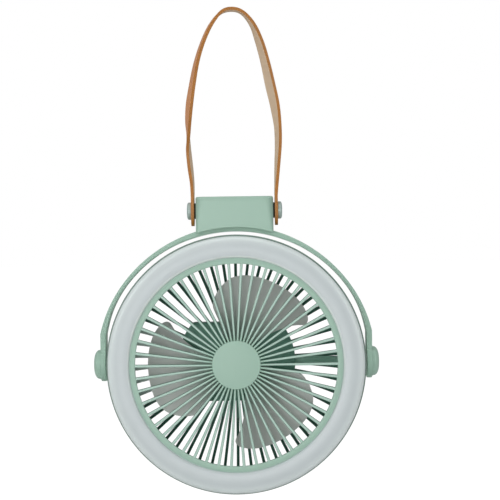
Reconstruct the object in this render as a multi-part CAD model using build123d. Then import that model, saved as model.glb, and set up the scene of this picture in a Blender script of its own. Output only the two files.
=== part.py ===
from build123d import *
import os
from math import cos, radians, sin, sqrt

# Portable camping fan. A round fan head has a translucent light ring around its front grille, three
# blades on an outer-rotor motor, and a pod behind the motor with two battery cells and the controls.
# The head tilts between the two ears of a thin arched bracket. A block on top of the bracket carries
# a leather hanging strap on two studs, and is the foot when the bracket is turned under the head.
#
# Millimetres. X is to the right, Y points away from the viewer, whom the fan faces, and Z is up.
# Head pieces are drawn with Y as the depth behind the light ring's front, and bracket and strap
# pieces with Y and Z from the tilt axis. The finished model has its origin at the hanging point,
# inside the strap's apex.

# ---------------------------------------------------------------- driving dimensions
slip = 0.02  # gap around shafts, bearings and threads
snug = 0.05  # gap around pieces that are pressed or screwed together
play = 0.3  # gap between moulded pieces that clip together
merge = 1.0  # how far the features of one moulding run into each other

# Light ring: diffuser, and the grille's rim inside it
diffuser_outer_r = 94.8
diffuser_width = 15.3  # from its inner edge to its outer edge, seen from the front
diffuser_wall = 1.8
diffuser_skirt_back = 8.0  # depth at which the diffuser sits on the rear shell
diffuser_outer_round = 4.5
diffuser_inner_round = 2.2
diffuser_spigot = 3.0  # length of the lip that plugs into the rear shell

# Front grille
grille_front = 2.4  # depth of the rim's front face
rim_width = 5.5  # from the light ring to the ends of the open slots
rim_thickness = 2.4
rib_count = 50
front_rib_width = 1.5  # at the cap
front_rib_end_width = 2.1  # at the rim
front_rib_depth = 3.6
cap_r = 18.0
cap_proud = 0.4  # how far the centre cap stands in front of the ribs
rib_set_back = 0.3  # ribs start this far behind the rim's front face

# Rear shell
shell_lip = 1.2  # how far the shell stands out around the light ring
shell_wall = 2.0
shell_back = 34.0  # depth of the flat annulus behind the light ring
shell_corner_round = 6.0
shroud_inset = 3.7  # from the light ring's inner edge to the inside of the shroud's front end
shroud_flare = 3.7  # how much wider the shroud's rear end is than its front end, on the radius
shroud_wall = 1.5
rear_rib_width = 2.2
rear_rib_thickness = 4.0
bowl_fullness = 1.2  # 1 makes the dished rear grille level where it meets the pod
bowl_set_back = 0.5  # how far the ribs meet the pod in front of its rear edge
duct_width = 6.0
duct_wall = 1.2
duct_proud = 0.6  # how far the duct stands out behind the rear grille's ribs

# Light tray and light board
tray_depth = 12.0  # depth of the tray's front face
tray_wall = 1.4
board_thickness = 1.2
light_count = 36
light_width = 3.5
light_height = 2.8
light_depth = 0.8
light_board_margin = 1.2
tray_screw_count = 6
tray_post_r = 3.0
tray_screw_reach = 8.0  # length of the thread in the rear shell's posts

# Pod behind the motor
pod_end_room = 3.23  # from the corners of the cells' contacts to the pod's wall
pod_half_height = 29.6
pod_front = 33.0
pod_wall = 1.8
pod_corner_round = 3.0
cover_wall = 2.0
cover_lip = 3.0
cell_r = 9.15
cell_length = 65.1
cell_height = 17.7  # centre of each cell above or below the fan's axis
cell_tip_r = 3.0
cell_tip_height = 1.2
contact_thickness = 0.3
contact_width = 8.0
cell_gap = 0.25  # gap in front of and behind the cells
cover_screw_gap = 2.85  # from the cells' contacts to the bosses of the cover's screws
cover_screw_z = 12.5
boss_r = 2.3
cover_screw_reach = 7.0
cover_screw_recess = 1.0
cover_round = 1.2
cover_lip_gap = 0.2
cover_lip_wall = 1.2

# Fan, motor and shaft
blade_count = 3
blade_tip_gap = 9.5  # from the blades' tips to the shroud
blade_thickness = 1.8
blade_front = 12.0
blade_rise = 14.0  # depth from the front edge to the rear edge of a blade
blade_start = -23.0  # degrees clockwise from the top, at the front edge
blade_end = 62.0  # degrees clockwise from the top, at the rear edge
hub_r = 16.5
hub_front = 10.5
hub_wall = 1.4
hub_back = 26.5
hub_round = 2.0
hub_boss_r = 3.5
hub_boss_length = 3.8
end_play = 0.4
shaft_r = 1.5
shaft_set_back = 0.3  # how far the shaft ends inside the bearing tube
clip_r = 2.5
clip_groove = 0.4
clip_thickness = 0.4
clip_mouth = 1.4
bearing_r = 4.0
bearing_width = 3.0
ball_r = 0.55
race_gap = 0.35  # from the balls' circle to each race
ball_count = 7
tube_wall = 1.2
bearing_step = 0.8  # shoulder in the tube that each bearing sits against
flux_wall = 1.2
flux_inset = 1.1  # from each end of the hub's inside
magnet_inset = 2.0
magnet_wall = 1.5
air_gap = 0.4
stator_length = 8.5
tooth_count = 9
tooth_width = 2.2
core_wall = 2.2
shoe_wall = 1.3
shoe_gap = 1.2
coil_width = 4.7
coil_lip = 1.2  # how far the windings stand out at each end of the core
coil_gap = 0.3
flange_r = 15.5
flange_thickness = 1.6
motor_screw_inset = 2.6
motor_screw_head_r = 2.3
motor_screw_head_height = 1.2
motor_post_r = 1.4
motor_post_circle_r = 10.5
motor_board_r = 13.3
motor_board_gap = 0.8  # between the spinning hub's edge and the motor's board
motor_wire_z = 9.0
motor_wire_hole_r = 2.2

# Controls in the pod
control_board_length = 62.0
control_board_height = 15.2
control_board_gap = 8.4  # from the board to the inside of the cover
board_post_r = 2.0
board_post_inset = 2.5
switch_size = 6.0
switch_height = 3.6
plunger_r = 1.6
plunger_height = 0.8
plunger_reach = 0.8  # how deep the plunger sits in the switch
button_r = 4.6
button_gap = 0.15
button_proud = 1.2
button_round = 0.8
button_flange = 0.9  # height and width of the flange that keeps the button in the cover
button_stem_r = 1.3
fan_button_x = 22.0
light_button_x = 7.0
usb_x = -23.0
usb_width = 8.9
usb_height = 3.2
usb_wall = 0.35
usb_set_back = 0.4
usb_socket_depth = 6.5
usb_tongue_width = 6.5
usb_tongue_thickness = 0.8
usb_gap = 0.25
charge_light_count = 4
charge_light_pitch = 3.0
charge_light_x = -9.0
charge_light_r = 0.8

# Tilt pivots, at the same depth as the head's centre of mass
pivot_depth = 26.5
pivot_boss_r = 7.0
pivot_boss_proud = 0.9
pivot_washer_thickness = 0.45
pivot_shoulder_r = 2.5
pivot_thread_r = 1.7
pivot_insert_r = 3.4
pivot_insert_length = 8.0
insert_wall = 1.6  # plastic around and behind each brass insert
pivot_head_r = 4.5
pivot_head_height = 2.6
pivot_head_round = 0.8
running_gap = 0.05

# Bracket
bracket_gap = 4.0  # from the rear shell to the inside of the arch
bracket_thickness = 4.0
bracket_width = 17.5
ear_r = 11.25
knob_r = 10.85
knob_height = 5.4
knob_round = 3.6
knob_flange_r = 11.2
knob_flange = 0.9
knob_wall = 1.6

# Block on top of the bracket
block_length = 58.0
block_width = 25.0
block_height = 20.5  # from the top of the arch to the top of the block
block_arch_step = 1.5  # how far the arch stands out below the block
block_corner_round = 5.0
block_wall = 2.5
lid_thickness = 2.2
lid_round = 1.2
lid_screw_inset = 12.0  # from the ends of the block
lid_screw_reach = 8.0
lid_screw_set_back = 0.2
block_screw_x = 7.0
block_screw_set_back = 0.8
screw_r = 1.4
screw_head_r = 2.6
screw_head_height = 1.4
slot_length = 2.8
slot_width = 0.6
slot_depth = 0.5

# Strap and its studs
stud_drop = 10.3  # from the top of the block to the studs' axis
stud_r = 2.0
stud_head_r = 6.5
stud_head_height = 3.2
stud_insert_r = 3.2
stud_insert_length = 7.0
strap_washer_r = 5.9
strap_washer_thickness = 1.1
strap_width = 15.0
strap_thickness = 2.3
strap_tail = 11.3  # how far the strap's round end reaches below the stud's axis
strap_flat_end = 0.5  # the strap starts to bend this far above the block
strap_rise = 140.5  # from there to the middle of the leather at the apex

# Wires inside the head
wire_r = 0.65
led_wire_z = 0.75
led_wire_bend = 2.0
led_hole = 1.6
led_notch_depth = 2.5  # of the notch in the shroud's rear edge that leads the light wires to the duct
motor_wire_r = 0.55
motor_wire_pitch = 1.35

# ---------------------------------------------------------------- worked-out places
diffuser_inner_r = diffuser_outer_r - diffuser_width
rim_inner_r = diffuser_inner_r - rim_width
shell_outer_r = diffuser_outer_r + shell_lip
shell_inner_r = shell_outer_r - shell_wall
shroud_inner_r = diffuser_inner_r - shroud_inset
shroud_outer_r = shroud_inner_r + shroud_wall
opening_r = shroud_inner_r + shroud_flare  # of the shroud's rear end and the rear grille
shroud_end_r = opening_r + shroud_wall
light_board_inner_r = diffuser_inner_r + diffuser_wall + light_board_margin
light_board_outer_r = shell_inner_r - play - diffuser_wall - light_board_margin
light_circle_r = (light_board_inner_r + light_board_outer_r) / 2
blade_tip_r = shroud_inner_r - blade_tip_gap
contact_reach = sqrt((cell_length / 2 + contact_thickness) ** 2 + (cell_height + contact_width / 2) ** 2)
pod_r = contact_reach + pod_end_room + pod_wall
cover_screw_x = cell_length / 2 + contact_thickness + cover_screw_gap + boss_r
cover_inner = pod_front + pod_wall + 2 * cell_gap + 2 * cell_r
cover_back = cover_inner + cover_wall
control_board_depth = cover_inner - control_board_gap - board_thickness
tube_r = bearing_r + tube_wall
flux_outer_r = hub_r - hub_wall
magnet_outer_r = flux_outer_r - flux_wall
stator_r = magnet_outer_r - magnet_wall - air_gap
bracket_inner_r = shell_outer_r + bracket_gap
bracket_outer_r = bracket_inner_r + bracket_thickness
pivot_face = shell_outer_r + pivot_boss_proud
leg_inner_x = pivot_face + pivot_washer_thickness + running_gap
leg_outer_x = leg_inner_x + bracket_thickness
rib_pitch = 360 / rib_count
duct_inner_skin = rear_rib_thickness + 2
block_arch_r = bracket_inner_r + block_arch_step
block_top = bracket_outer_r + block_height
lid_screw_x = block_length / 2 - lid_screw_inset
stud_height = block_top - stud_drop
strap_inner_x = block_length / 2 + strap_washer_thickness + 2 * running_gap
strap_x = strap_inner_x + strap_thickness / 2
strap_outer_x = strap_inner_x + strap_thickness
strap_flat_top = block_top + strap_flat_end
strap_apex = strap_flat_top + strap_rise
hang_height = strap_apex - strap_thickness / 2

head_place = Pos(0, -pivot_depth, -hang_height)
bracket_place = Pos(0, 0, -hang_height)


# ---------------------------------------------------------------- helpers
def drum(radius, front, back, x=0, z=0):
    """Solid cylinder along Y between two depths."""
    return Pos(x, (front + back) / 2, z) * Rot(90, 0, 0) * Cylinder(radius, back - front)


def ring(outer_r, inner_r, front, back, x=0, z=0):
    return drum(outer_r, front, back, x, z) - drum(inner_r, front, back, x, z)


def crosswise(radius, start, end, y=0, z=0):
    """Solid cylinder along X between two places."""
    return Pos((start + end) / 2, y, z) * Rot(0, 90, 0) * Cylinder(radius, abs(end - start))


def upright(radius, bottom, top, x=0, y=0):
    return Pos(x, y, (bottom + top) / 2) * Cylinder(radius, top - bottom)


def block(x0, x1, y0, y1, z0, z1):
    return Pos((x0 + x1) / 2, (y0 + y1) / 2, (z0 + z1) / 2) * Box(x1 - x0, y1 - y0, z1 - z0)


def prism(sketch, front, back):
    """A sketch of the front view (X to the right, Z up), extruded between two depths."""
    return extrude(Plane.XZ.offset(-back) * sketch, back - front)


def turned(points):
    """Solid of revolution about the fan's axis. The points are (radius, depth)."""
    return revolve(make_face(Polyline(*points, close=True)), Axis.Y)


def clockwise(angle, shape):
    """Turns a shape about the fan's axis, clockwise as the viewer sees it."""
    return Rot(0, angle, 0) * shape


def around(count, shape, start=0):
    return [clockwise(start + k * 360 / count, shape) for k in range(count)]


def both_sides(shape):
    """The shape and its mirror image on the other side of the head."""
    return [shape, mirror(shape, Plane.YZ)]


def group(shapes):
    return Compound(children=[solid for shape in shapes for solid in shape.solids()])


def wire(radius, bend, points):
    """A wire along straight runs joined by arcs."""
    path = FilletPolyline(*points, radius=bend)
    return sweep(Plane(path @ 0, z_dir=path % 0) * Circle(radius), path)


def save(name, shape, place):
    os.makedirs("parts", exist_ok=True)
    export_step(place * shape, f"parts/{name}.step")


# ---------------------------------------------------------------- light ring
def make_diffuser_ring():
    """Translucent cap over the lights: a rounded channel, open at the back."""
    outside = Polyline(
        (diffuser_inner_r, tray_depth), (diffuser_inner_r, 0), (diffuser_outer_r, 0),
        (diffuser_outer_r, diffuser_skirt_back),
        (shell_inner_r - play, diffuser_skirt_back),
        (shell_inner_r - play, diffuser_skirt_back + diffuser_spigot),
        (shell_inner_r - play - diffuser_wall, diffuser_skirt_back + diffuser_spigot),
        (shell_inner_r - play - diffuser_wall, diffuser_wall),
        (diffuser_inner_r + diffuser_wall, diffuser_wall),
        (diffuser_inner_r + diffuser_wall, tray_depth), close=True,
    )
    profile = make_face(outside)
    front = profile.vertices().filter_by_position(Axis.Y, -0.01, 0.01).sort_by(Axis.X)
    profile = fillet(front[1], diffuser_outer_round)
    front = profile.vertices().filter_by_position(Axis.Y, -0.01, 0.01).sort_by(Axis.X)
    profile = fillet(front[0], diffuser_inner_round)
    return revolve(profile, Axis.Y)


def screw_angles():
    """Screws of the light tray, midway between two lights."""
    half_step = 180 / light_count
    return [half_step + k * 360 / tray_screw_count for k in range(tray_screw_count)]


def make_light_tray():
    """White tray behind the lights, in one piece with the shroud around the blades."""
    tray = turned([
        (shroud_inner_r, tray_depth), (shell_inner_r - play, tray_depth),
        (shell_inner_r - play, tray_depth + tray_wall),
        (shroud_outer_r, tray_depth + tray_wall), (shroud_end_r, shell_back - shell_wall),
        (opening_r, shell_back - shell_wall),
    ])
    for angle in screw_angles():
        hole = drum(screw_r + snug, tray_depth, tray_depth + tray_wall, light_circle_r)
        tray -= clockwise(angle, hole)
    tray -= drum(led_hole, tray_depth, tray_depth + tray_wall, led_hole_r())
    notch_back, half = shell_back - shell_wall, duct_width / 2 - duct_wall
    notch_front = notch_back - led_notch_depth
    return tray - block(opening_r - merge, shroud_end_r + merge, notch_front, notch_back, -half, half)


def led_hole_r():
    """Radius at which the light wires pass through the tray, in from the lights."""
    return light_circle_r - led_hole - snug


def make_light_board():
    front = tray_depth - board_thickness
    board = ring(light_board_outer_r, light_board_inner_r, front, tray_depth)
    for angle in screw_angles():
        board -= clockwise(angle, drum(screw_r + snug, front, tray_depth, light_circle_r))
    return board


def make_lights():
    back = tray_depth - board_thickness
    chip = block(
        light_circle_r - light_height / 2, light_circle_r + light_height / 2,
        back - light_depth, back, -light_width / 2, light_width / 2,
    )
    return group(around(light_count, chip))


def make_tray_screws():
    head_back = tray_depth - board_thickness
    length = tray_wall + board_thickness + tray_screw_reach
    screw = drum(screw_head_r, head_back - screw_head_height, head_back, light_circle_r)
    screw += drum(screw_r, head_back, head_back + length, light_circle_r)
    return group([clockwise(angle, screw) for angle in screw_angles()])


# ---------------------------------------------------------------- front grille
def make_front_grille():
    """Round grille: straight ribs from the centre cap to the rim, and a skirt that sits on the tray."""
    rim_back = grille_front + rim_thickness
    outer_r = diffuser_inner_r - play
    skirt_inner_r = shroud_outer_r + play
    grille = turned([
        (rim_inner_r, grille_front), (outer_r, grille_front), (outer_r, tray_depth),
        (skirt_inner_r, tray_depth), (skirt_inner_r, rim_back), (rim_inner_r, rim_back),
    ])
    rib_front = grille_front + rib_set_back
    rib_back = rib_front + front_rib_depth
    cap = drum(cap_r, rib_front - cap_proud, rib_back)
    cap = fillet(cap.edges().group_by(Axis.Y)[0], cap_proud)
    start, end = (cap_r - merge, front_rib_width / 2), (rim_inner_r + merge, front_rib_end_width / 2)
    outline = Polyline(start, end, (end[0], -end[1]), (start[0], -start[1]), close=True)
    rib = prism(make_face(outline), rib_front, rib_back)
    return grille + [cap] + around(rib_count, rib, rib_pitch / 2 - 90)


# ---------------------------------------------------------------- rear shell
def bowl_arc():
    """The dished rear grille's arc in section: its radius, and its centre's (radius, depth)."""
    rim_r, rim_depth = shroud_end_r + merge, shell_back
    top_r, top_depth = pod_r, cover_inner - bowl_set_back
    rise = top_depth - rim_depth
    chord = sqrt((rim_r - top_r) ** 2 + rise**2)
    arc_radius = bowl_fullness * chord**2 / (2 * rise)
    reach = sqrt(arc_radius**2 - (chord / 2) ** 2)
    along_r, along_depth = (top_r - rim_r) / chord, rise / chord
    middle_r, middle_depth = (rim_r + top_r) / 2, (rim_depth + top_depth) / 2
    return arc_radius, (middle_r - along_depth * reach, middle_depth + along_r * reach)


def bowl_strip(outer_skin, inner_skin, inner_r, outer_r, width):
    """A radial strip of the dished grille, as wide as given, between two skins' depths."""
    arc_radius, centre = bowl_arc()
    arc = Pos(*centre) * (Circle(arc_radius - outer_skin) - Circle(arc_radius - inner_skin))
    middle_r = (inner_r + outer_r) / 2
    window = Pos(middle_r, cover_back) * Rectangle(outer_r - inner_r, 2 * (cover_back - centre[1]))
    return extrude(arc & window, width / 2, both=True)


def pod_outline(inset=0):
    """Front view of the pod: a circle cut by two level flats."""
    radius = pod_r - inset
    outline = Circle(radius) & Rectangle(2 * radius, 2 * (pod_half_height - inset))
    return fillet(outline.vertices(), pod_corner_round - inset / 2)


def cover_boss_places():
    return [(x, z) for x in (-cover_screw_x, cover_screw_x) for z in (-cover_screw_z, cover_screw_z)]


def board_post_places():
    x = control_board_length / 2 - board_post_inset
    z = control_board_height / 2 - board_post_inset
    return [(-x, -z), (-x, z), (x, -z), (x, z)]


def motor_screw_places():
    reach = flange_r - motor_screw_inset
    return [(reach * sin(radians(a)), reach * cos(radians(a))) for a in (60, 180, 300)]


def make_rear_shell():
    """Rear half of the head: light ring trough, dished rear grille, pod, wire duct, pivot bosses."""
    corner = shell_corner_round
    wall = shell_wall
    trough = make_face(Polyline(
        (opening_r, shell_back - wall), (shell_inner_r, shell_back - wall),
        (shell_inner_r, diffuser_skirt_back), (shell_outer_r, diffuser_skirt_back),
        (shell_outer_r, shell_back), (opening_r, shell_back), close=True,
    ))
    by_radius = trough.vertices().sort_by(Axis.X)
    outer_corner = by_radius[-2:].sort_by(Axis.Y)[-1]
    trough = fillet(outer_corner, corner)
    inner_corner = trough.vertices().sort_by_distance((shell_inner_r, shell_back - wall))[0]
    trough = fillet(inner_corner, corner - wall)
    shell = revolve(trough, Axis.Y)

    # dished grille: straight ribs that lie behind the gaps of the front grille
    rib_start = pod_half_height - pod_wall / 2
    rib = bowl_strip(0, rear_rib_thickness, rib_start, shroud_end_r + merge, rear_rib_width)
    ribs = around(rib_count, rib, -90)

    # duct that leads the light wires from the trough to the pod, at the viewer's right
    duct = bowl_strip(-duct_proud, duct_inner_skin, pod_r - pod_wall, shroud_end_r + merge, duct_width)
    shroud_room = ring(shroud_end_r + 3 * merge, opening_r - merge, 0, shell_back - wall)
    dish = ribs + [duct]

    pod = prism(pod_outline(), pod_front, cover_inner)
    cavity = prism(pod_outline(pod_wall), pod_front + pod_wall, cover_inner)
    cover_room = prism(pod_outline(), cover_inner, cover_back)
    shell = shell + [piece - shroud_room - cover_room for piece in dish] + [pod] - cavity
    shell -= bowl_strip(
        duct_wall - duct_proud, duct_inner_skin - duct_wall, pod_r - 4 * merge, shroud_end_r + 4 * merge,
        duct_width - 2 * duct_wall,
    )

    # posts for the tray's screws, and bosses for the cover's screws and the control board
    for angle in screw_angles():
        post = drum(tray_post_r, tray_depth + tray_wall, shell_back - wall / 2, light_circle_r)
        hole_back = tray_depth + tray_wall + tray_screw_reach + merge
        hole = drum(screw_r + snug, tray_depth + tray_wall, hole_back, light_circle_r)
        shell = shell + clockwise(angle, post) - clockwise(angle, hole)
    for x, z in cover_boss_places():
        shell += drum(boss_r, pod_front + pod_wall / 2, cover_inner, x, z)
        shell -= drum(screw_r + snug, cover_inner - cover_screw_reach - merge, cover_inner, x, z)
    for x, z in board_post_places():
        shell += drum(board_post_r, pod_front + pod_wall / 2, control_board_depth, x, z)

    # motor seat: the bearing tube's tail, three screw holes and a hole for the motor's wires
    shell -= drum(tube_r + play, pod_front, pod_front + pod_wall)
    for x, z in motor_screw_places():
        shell -= drum(screw_r + snug, pod_front, pod_front + pod_wall, x, z)
    shell -= drum(motor_wire_hole_r, pod_front, pod_front + pod_wall, 0, motor_wire_z)

    # pivot bosses with a bore for a brass insert
    for side in (-1, 1):
        outer, seat = side * pivot_face, side * (pivot_face - pivot_insert_length)
        inside = side * (pivot_face - pivot_insert_length - insert_wall)
        shell += crosswise(pivot_boss_r, side * (shell_inner_r - merge), outer, pivot_depth)
        shell += crosswise(pivot_insert_r + insert_wall, inside, outer, pivot_depth)
        shell -= crosswise(pivot_insert_r + snug, seat, outer, pivot_depth)
    return shell


# ---------------------------------------------------------------- fan and motor
def blade_outline():
    """Front view of one blade. Each point is (radius, degrees clockwise from the top)."""
    def at(radius, angle):
        return radius * sin(radians(angle)), radius * cos(radians(angle))

    tip = blade_tip_r
    inner = hub_r - hub_wall
    round_edge = Spline(
        at(inner, -28), at(0.47 * tip, -21), at(0.69 * tip, -21.5), at(0.805 * tip, -16),
        at(0.905 * tip, -8.5), at(0.985 * tip, 2), at(tip, 12),
        tangents=[at(1, -24), at(1, 102)],
    )
    arc = ThreePointArc(at(tip, 12), at(tip, 26), at(tip, 40))
    hooked_edge = Spline(
        at(tip, 40), at(0.985 * tip, 50), at(0.95 * tip, 58), at(0.88 * tip, 61.5),
        at(0.78 * tip, 58), at(0.67 * tip, 54.5), at(0.53 * tip, 50.5), at(inner, 40),
        tangents=[at(1, 130), at(1, 215)],
    )
    root = Line(at(inner, 40), at(inner, -28))
    return make_face([round_edge, arc, hooked_edge, root])


def make_blade():
    """Twisted sheet, deepest at its clockwise edge, cut to the blade's outline."""
    first, last, steps = -40.0, 70.0, 8
    middle_r = blade_tip_r / 2 + hub_r / 3
    sections = []
    for k in range(steps + 1):
        angle = first + k * (last - first) / steps
        share = (angle - blade_start) / (blade_end - blade_start)
        middle = blade_front + blade_thickness / 2 + blade_rise * share
        strip = Pos(middle_r, middle) * Rectangle(blade_tip_r, blade_thickness)
        sections.append(clockwise(angle - 90, strip))
    sheet = loft(sections)
    return sheet & prism(blade_outline(), hub_front - blade_rise, hub_back + blade_rise)


def make_fan_rotor():
    """Hub cup with three blades, moulded in one piece."""
    cup = drum(hub_r, hub_front, hub_back)
    cup = fillet(cup.edges().group_by(Axis.Y)[0], hub_round)
    rotor = cup + around(blade_count, make_blade())
    rotor -= drum(hub_r - hub_wall, hub_front + hub_wall, hub_back + blade_rise)
    rotor += drum(hub_boss_r, hub_front + hub_wall / 2, tube_front() - end_play)
    return rotor - drum(shaft_r + slip, hub_front + hub_wall, tube_front())


def tube_front():
    return hub_front + hub_wall + hub_boss_length + end_play


def tube_back():
    return pod_front


def magnet_span():
    return hub_front + hub_wall + magnet_inset, hub_back - magnet_inset


def make_flux_ring():
    front = hub_front + hub_wall + flux_inset
    return ring(flux_outer_r - snug, magnet_outer_r, front, hub_back - flux_inset)


def make_magnet_ring():
    front, back = magnet_span()
    return ring(magnet_outer_r - snug, magnet_outer_r - magnet_wall, front, back)


def make_fan_shaft():
    shaft = drum(shaft_r, hub_front + hub_wall, tube_back() - shaft_set_back)
    groove = ring(shaft_r, shaft_r - clip_groove, clip_front(), clip_front() + clip_thickness + 2 * snug)
    return shaft - groove


def clip_front():
    return tube_back() - shaft_set_back - clip_thickness - clip_groove


def make_shaft_clip():
    front, back = clip_front() + snug, clip_front() + snug + clip_thickness
    clip = ring(clip_r, shaft_r - clip_groove + snug, front, back)
    return clip - block(-clip_mouth / 2, clip_mouth / 2, front, back, -clip_r, 0)


def bearing_fronts():
    return tube_front() + end_play, clip_front() - 2 * snug - bearing_width


def make_bearing(front):
    """Small ball bearing: outer race, inner race and balls."""
    back = front + bearing_width
    track_r = (bearing_r + shaft_r) / 2
    outer = ring(bearing_r - slip, track_r + race_gap, front, back)
    inner = ring(track_r - race_gap, shaft_r + slip, front, back)
    middle = (front + back) / 2
    balls = around(ball_count, Pos(track_r, middle, 0) * Sphere(ball_r))
    grooves = Pos(0, middle, 0) * Rot(90, 0, 0) * Torus(track_r, ball_r + slip)
    return group([outer - grooves, inner - grooves] + balls)


def make_motor_mount():
    """Brass bearing tube with a flange that is screwed to the pod's front."""
    front_bearing, rear_bearing = bearing_fronts()
    mount = drum(tube_r, tube_front(), tube_back())
    mount += drum(flange_r, pod_front - flange_thickness, pod_front)
    for a in (30, 150, 270):
        x, z = (motor_post_circle_r * side for side in (sin(radians(a)), cos(radians(a))))
        mount += drum(motor_post_r, motor_board_front() + board_thickness, pod_front - merge, x, z)
    mount -= drum(bearing_r, tube_front(), front_bearing + bearing_width)
    mount -= drum(bearing_r, rear_bearing, tube_back())
    mount -= drum(bearing_r - bearing_step, tube_front(), tube_back())
    for x, z in motor_screw_places():
        mount -= drum(screw_r + snug, pod_front - flange_thickness, pod_front, x, z)
    return mount - drum(motor_wire_hole_r, pod_front - flange_thickness, pod_front, 0, motor_wire_z)


def motor_board_front():
    return hub_back + motor_board_gap


def make_motor_screws():
    head_back = pod_front - flange_thickness
    screws = []
    for x, z in motor_screw_places():
        screw = drum(motor_screw_head_r, head_back - motor_screw_head_height, head_back, x, z)
        screws.append(screw + drum(screw_r, head_back, pod_front + pod_wall - snug, x, z))
    return group(screws)


def make_motor_board():
    front = motor_board_front()
    return ring(motor_board_r, tube_r + play, front, front + board_thickness)


def stator_span():
    middle = sum(magnet_span()) / 2
    return middle - stator_length / 2, middle + stator_length / 2


def make_stator_core():
    """Laminated core: a bush on the bearing tube, nine teeth and their shoes."""
    front, back = stator_span()
    shoe_inner_r = stator_r - shoe_wall
    core = ring(tube_r + core_wall, tube_r + slip, front, back)
    half = tooth_width / 2
    tooth = block(tube_r + core_wall / 2, stator_r - shoe_wall / 2, front, back, -half, half)
    shoes = ring(stator_r, shoe_inner_r, front, back)
    gap = block(shoe_inner_r - merge, stator_r + merge, front, back, -shoe_gap / 2, shoe_gap / 2)
    half_tooth = 180 / tooth_count
    return core + around(tooth_count, tooth) + (shoes - around(tooth_count, gap, half_tooth))


def make_stator_coils():
    """One winding around each tooth."""
    front, back = stator_span()
    inner_r, outer_r = tube_r + core_wall + coil_gap, stator_r - shoe_wall - coil_gap
    half, half_core = coil_width / 2, tooth_width / 2 + snug
    core = block(inner_r, outer_r, front - snug, back + snug, -half_core, half_core)
    coil = block(inner_r, outer_r, front - coil_lip, back + coil_lip, -half, half) - core
    return group(around(tooth_count, coil))


# ---------------------------------------------------------------- pod contents and cover
def cell_depth():
    return pod_front + pod_wall + cell_gap + cell_r


def make_battery_cells():
    cells = []
    for z in (-cell_height, cell_height):
        shoulder = cell_length / 2 - cell_tip_height
        body = crosswise(cell_r, -cell_length / 2, shoulder, cell_depth(), z)
        button = crosswise(cell_tip_r, shoulder, cell_length / 2, cell_depth(), z)
        cells.append(body + button)
    return group(cells)


def make_battery_contacts():
    """Nickel strips welded to the ends of the cells."""
    end, thick, half = cell_length / 2, contact_thickness, contact_width / 2
    depth = cell_depth()
    tall = cell_height + half
    link = block(-end - thick, -end, depth - half, depth + half, -tall, tall)
    upper = block(end, end + thick, depth - half, depth + half, cell_height - half, tall)
    lower = block(end, end + thick, depth - half, depth + half, -tall, half - cell_height)
    return group([link, upper, lower])


def make_control_board():
    half_length, half_height = control_board_length / 2, control_board_height / 2
    return block(
        -half_length, half_length, control_board_depth, control_board_depth + board_thickness,
        -half_height, half_height,
    )


def board_back():
    return control_board_depth + board_thickness


def make_push_switches():
    half = switch_size / 2
    switches = []
    for x in (light_button_x, fan_button_x):
        back = board_back() + switch_height - plunger_height
        body = block(x - half, x + half, board_back(), back, -half, half)
        switches.append(body - drum(plunger_r + snug, back - 2 * plunger_reach, back, x))
    return group(switches)


def make_plunger(x):
    back = board_back() + switch_height
    return drum(plunger_r, back - plunger_height - plunger_reach, back, x)


def usb_outline(grow=0.0):
    height = usb_height + 2 * grow
    return Pos(usb_x, 0) * SlotOverall(usb_width + 2 * grow, height)


def make_usb_port():
    """Charging socket, standing on the board and open at the cover."""
    back = cover_back - usb_set_back
    shell = prism(usb_outline(), board_back(), back)
    shell -= prism(usb_outline(-usb_wall), back - usb_socket_depth, back)
    tongue = Pos(usb_x, 0) * Rectangle(usb_tongue_width, usb_tongue_thickness)
    return shell + prism(tongue, back - usb_socket_depth - merge, back - merge)


def charge_light_places():
    first = charge_light_x - (charge_light_count - 1) / 2 * charge_light_pitch
    return [first + k * charge_light_pitch for k in range(charge_light_count)]


def make_charge_lights():
    """Row of light guides that show the charge, standing on the board."""
    front, back = board_back(), cover_back + 2 * snug
    return group([drum(charge_light_r, front, back, x) for x in charge_light_places()])


def make_pod_cover():
    outline = pod_outline()
    cover = prism(outline, cover_inner, cover_back)
    cover = fillet(cover.edges().group_by(Axis.Y)[-1], cover_round)
    lip_inset = pod_wall + cover_lip_gap
    lip = pod_outline(lip_inset) - pod_outline(lip_inset + cover_lip_wall)
    cover += prism(lip, cover_inner - cover_lip, cover_inner)
    for x, z in cover_boss_places():
        cover -= drum(boss_r + play, cover_inner - cover_lip, cover_inner, x, z)
        cover -= drum(screw_r + snug, cover_inner, cover_back, x, z)
        cover -= drum(screw_head_r + 2 * snug, cover_back - cover_screw_recess, cover_back, x, z)
    for x in (light_button_x, fan_button_x):
        cover -= drum(button_r + button_gap, cover_inner, cover_back, x)
    for x in charge_light_places():
        cover -= drum(charge_light_r + snug, cover_inner, cover_back, x)
    return cover - prism(usb_outline(usb_gap), cover_inner, cover_back)


def cross_slot():
    return Rectangle(slot_length, slot_width) + Rectangle(slot_width, slot_length)


def make_cover_screws():
    screws = []
    for x, z in cover_boss_places():
        seat = cover_back - cover_screw_recess
        head = drum(screw_head_r, seat, cover_back, x, z)
        head -= prism(Pos(x, z) * cross_slot(), cover_back - slot_depth, cover_back)
        screws.append(head + drum(screw_r, cover_inner - cover_screw_reach, seat, x, z))
    return group(screws)


def make_button(x):
    """Round press button: a cap with a retaining flange, and a stem on the switch's plunger."""
    flange_back = cover_inner - 2 * snug
    flange_front = flange_back - button_flange
    cap = drum(button_r, flange_front, cover_back + button_proud, x)
    cap = fillet(cap.edges().group_by(Axis.Y)[-1], button_round)
    flange = drum(button_r + button_flange, flange_front, flange_back, x)
    stem_front = board_back() + switch_height + slip
    return cap + flange + drum(button_stem_r, stem_front, flange_front, x)


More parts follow.
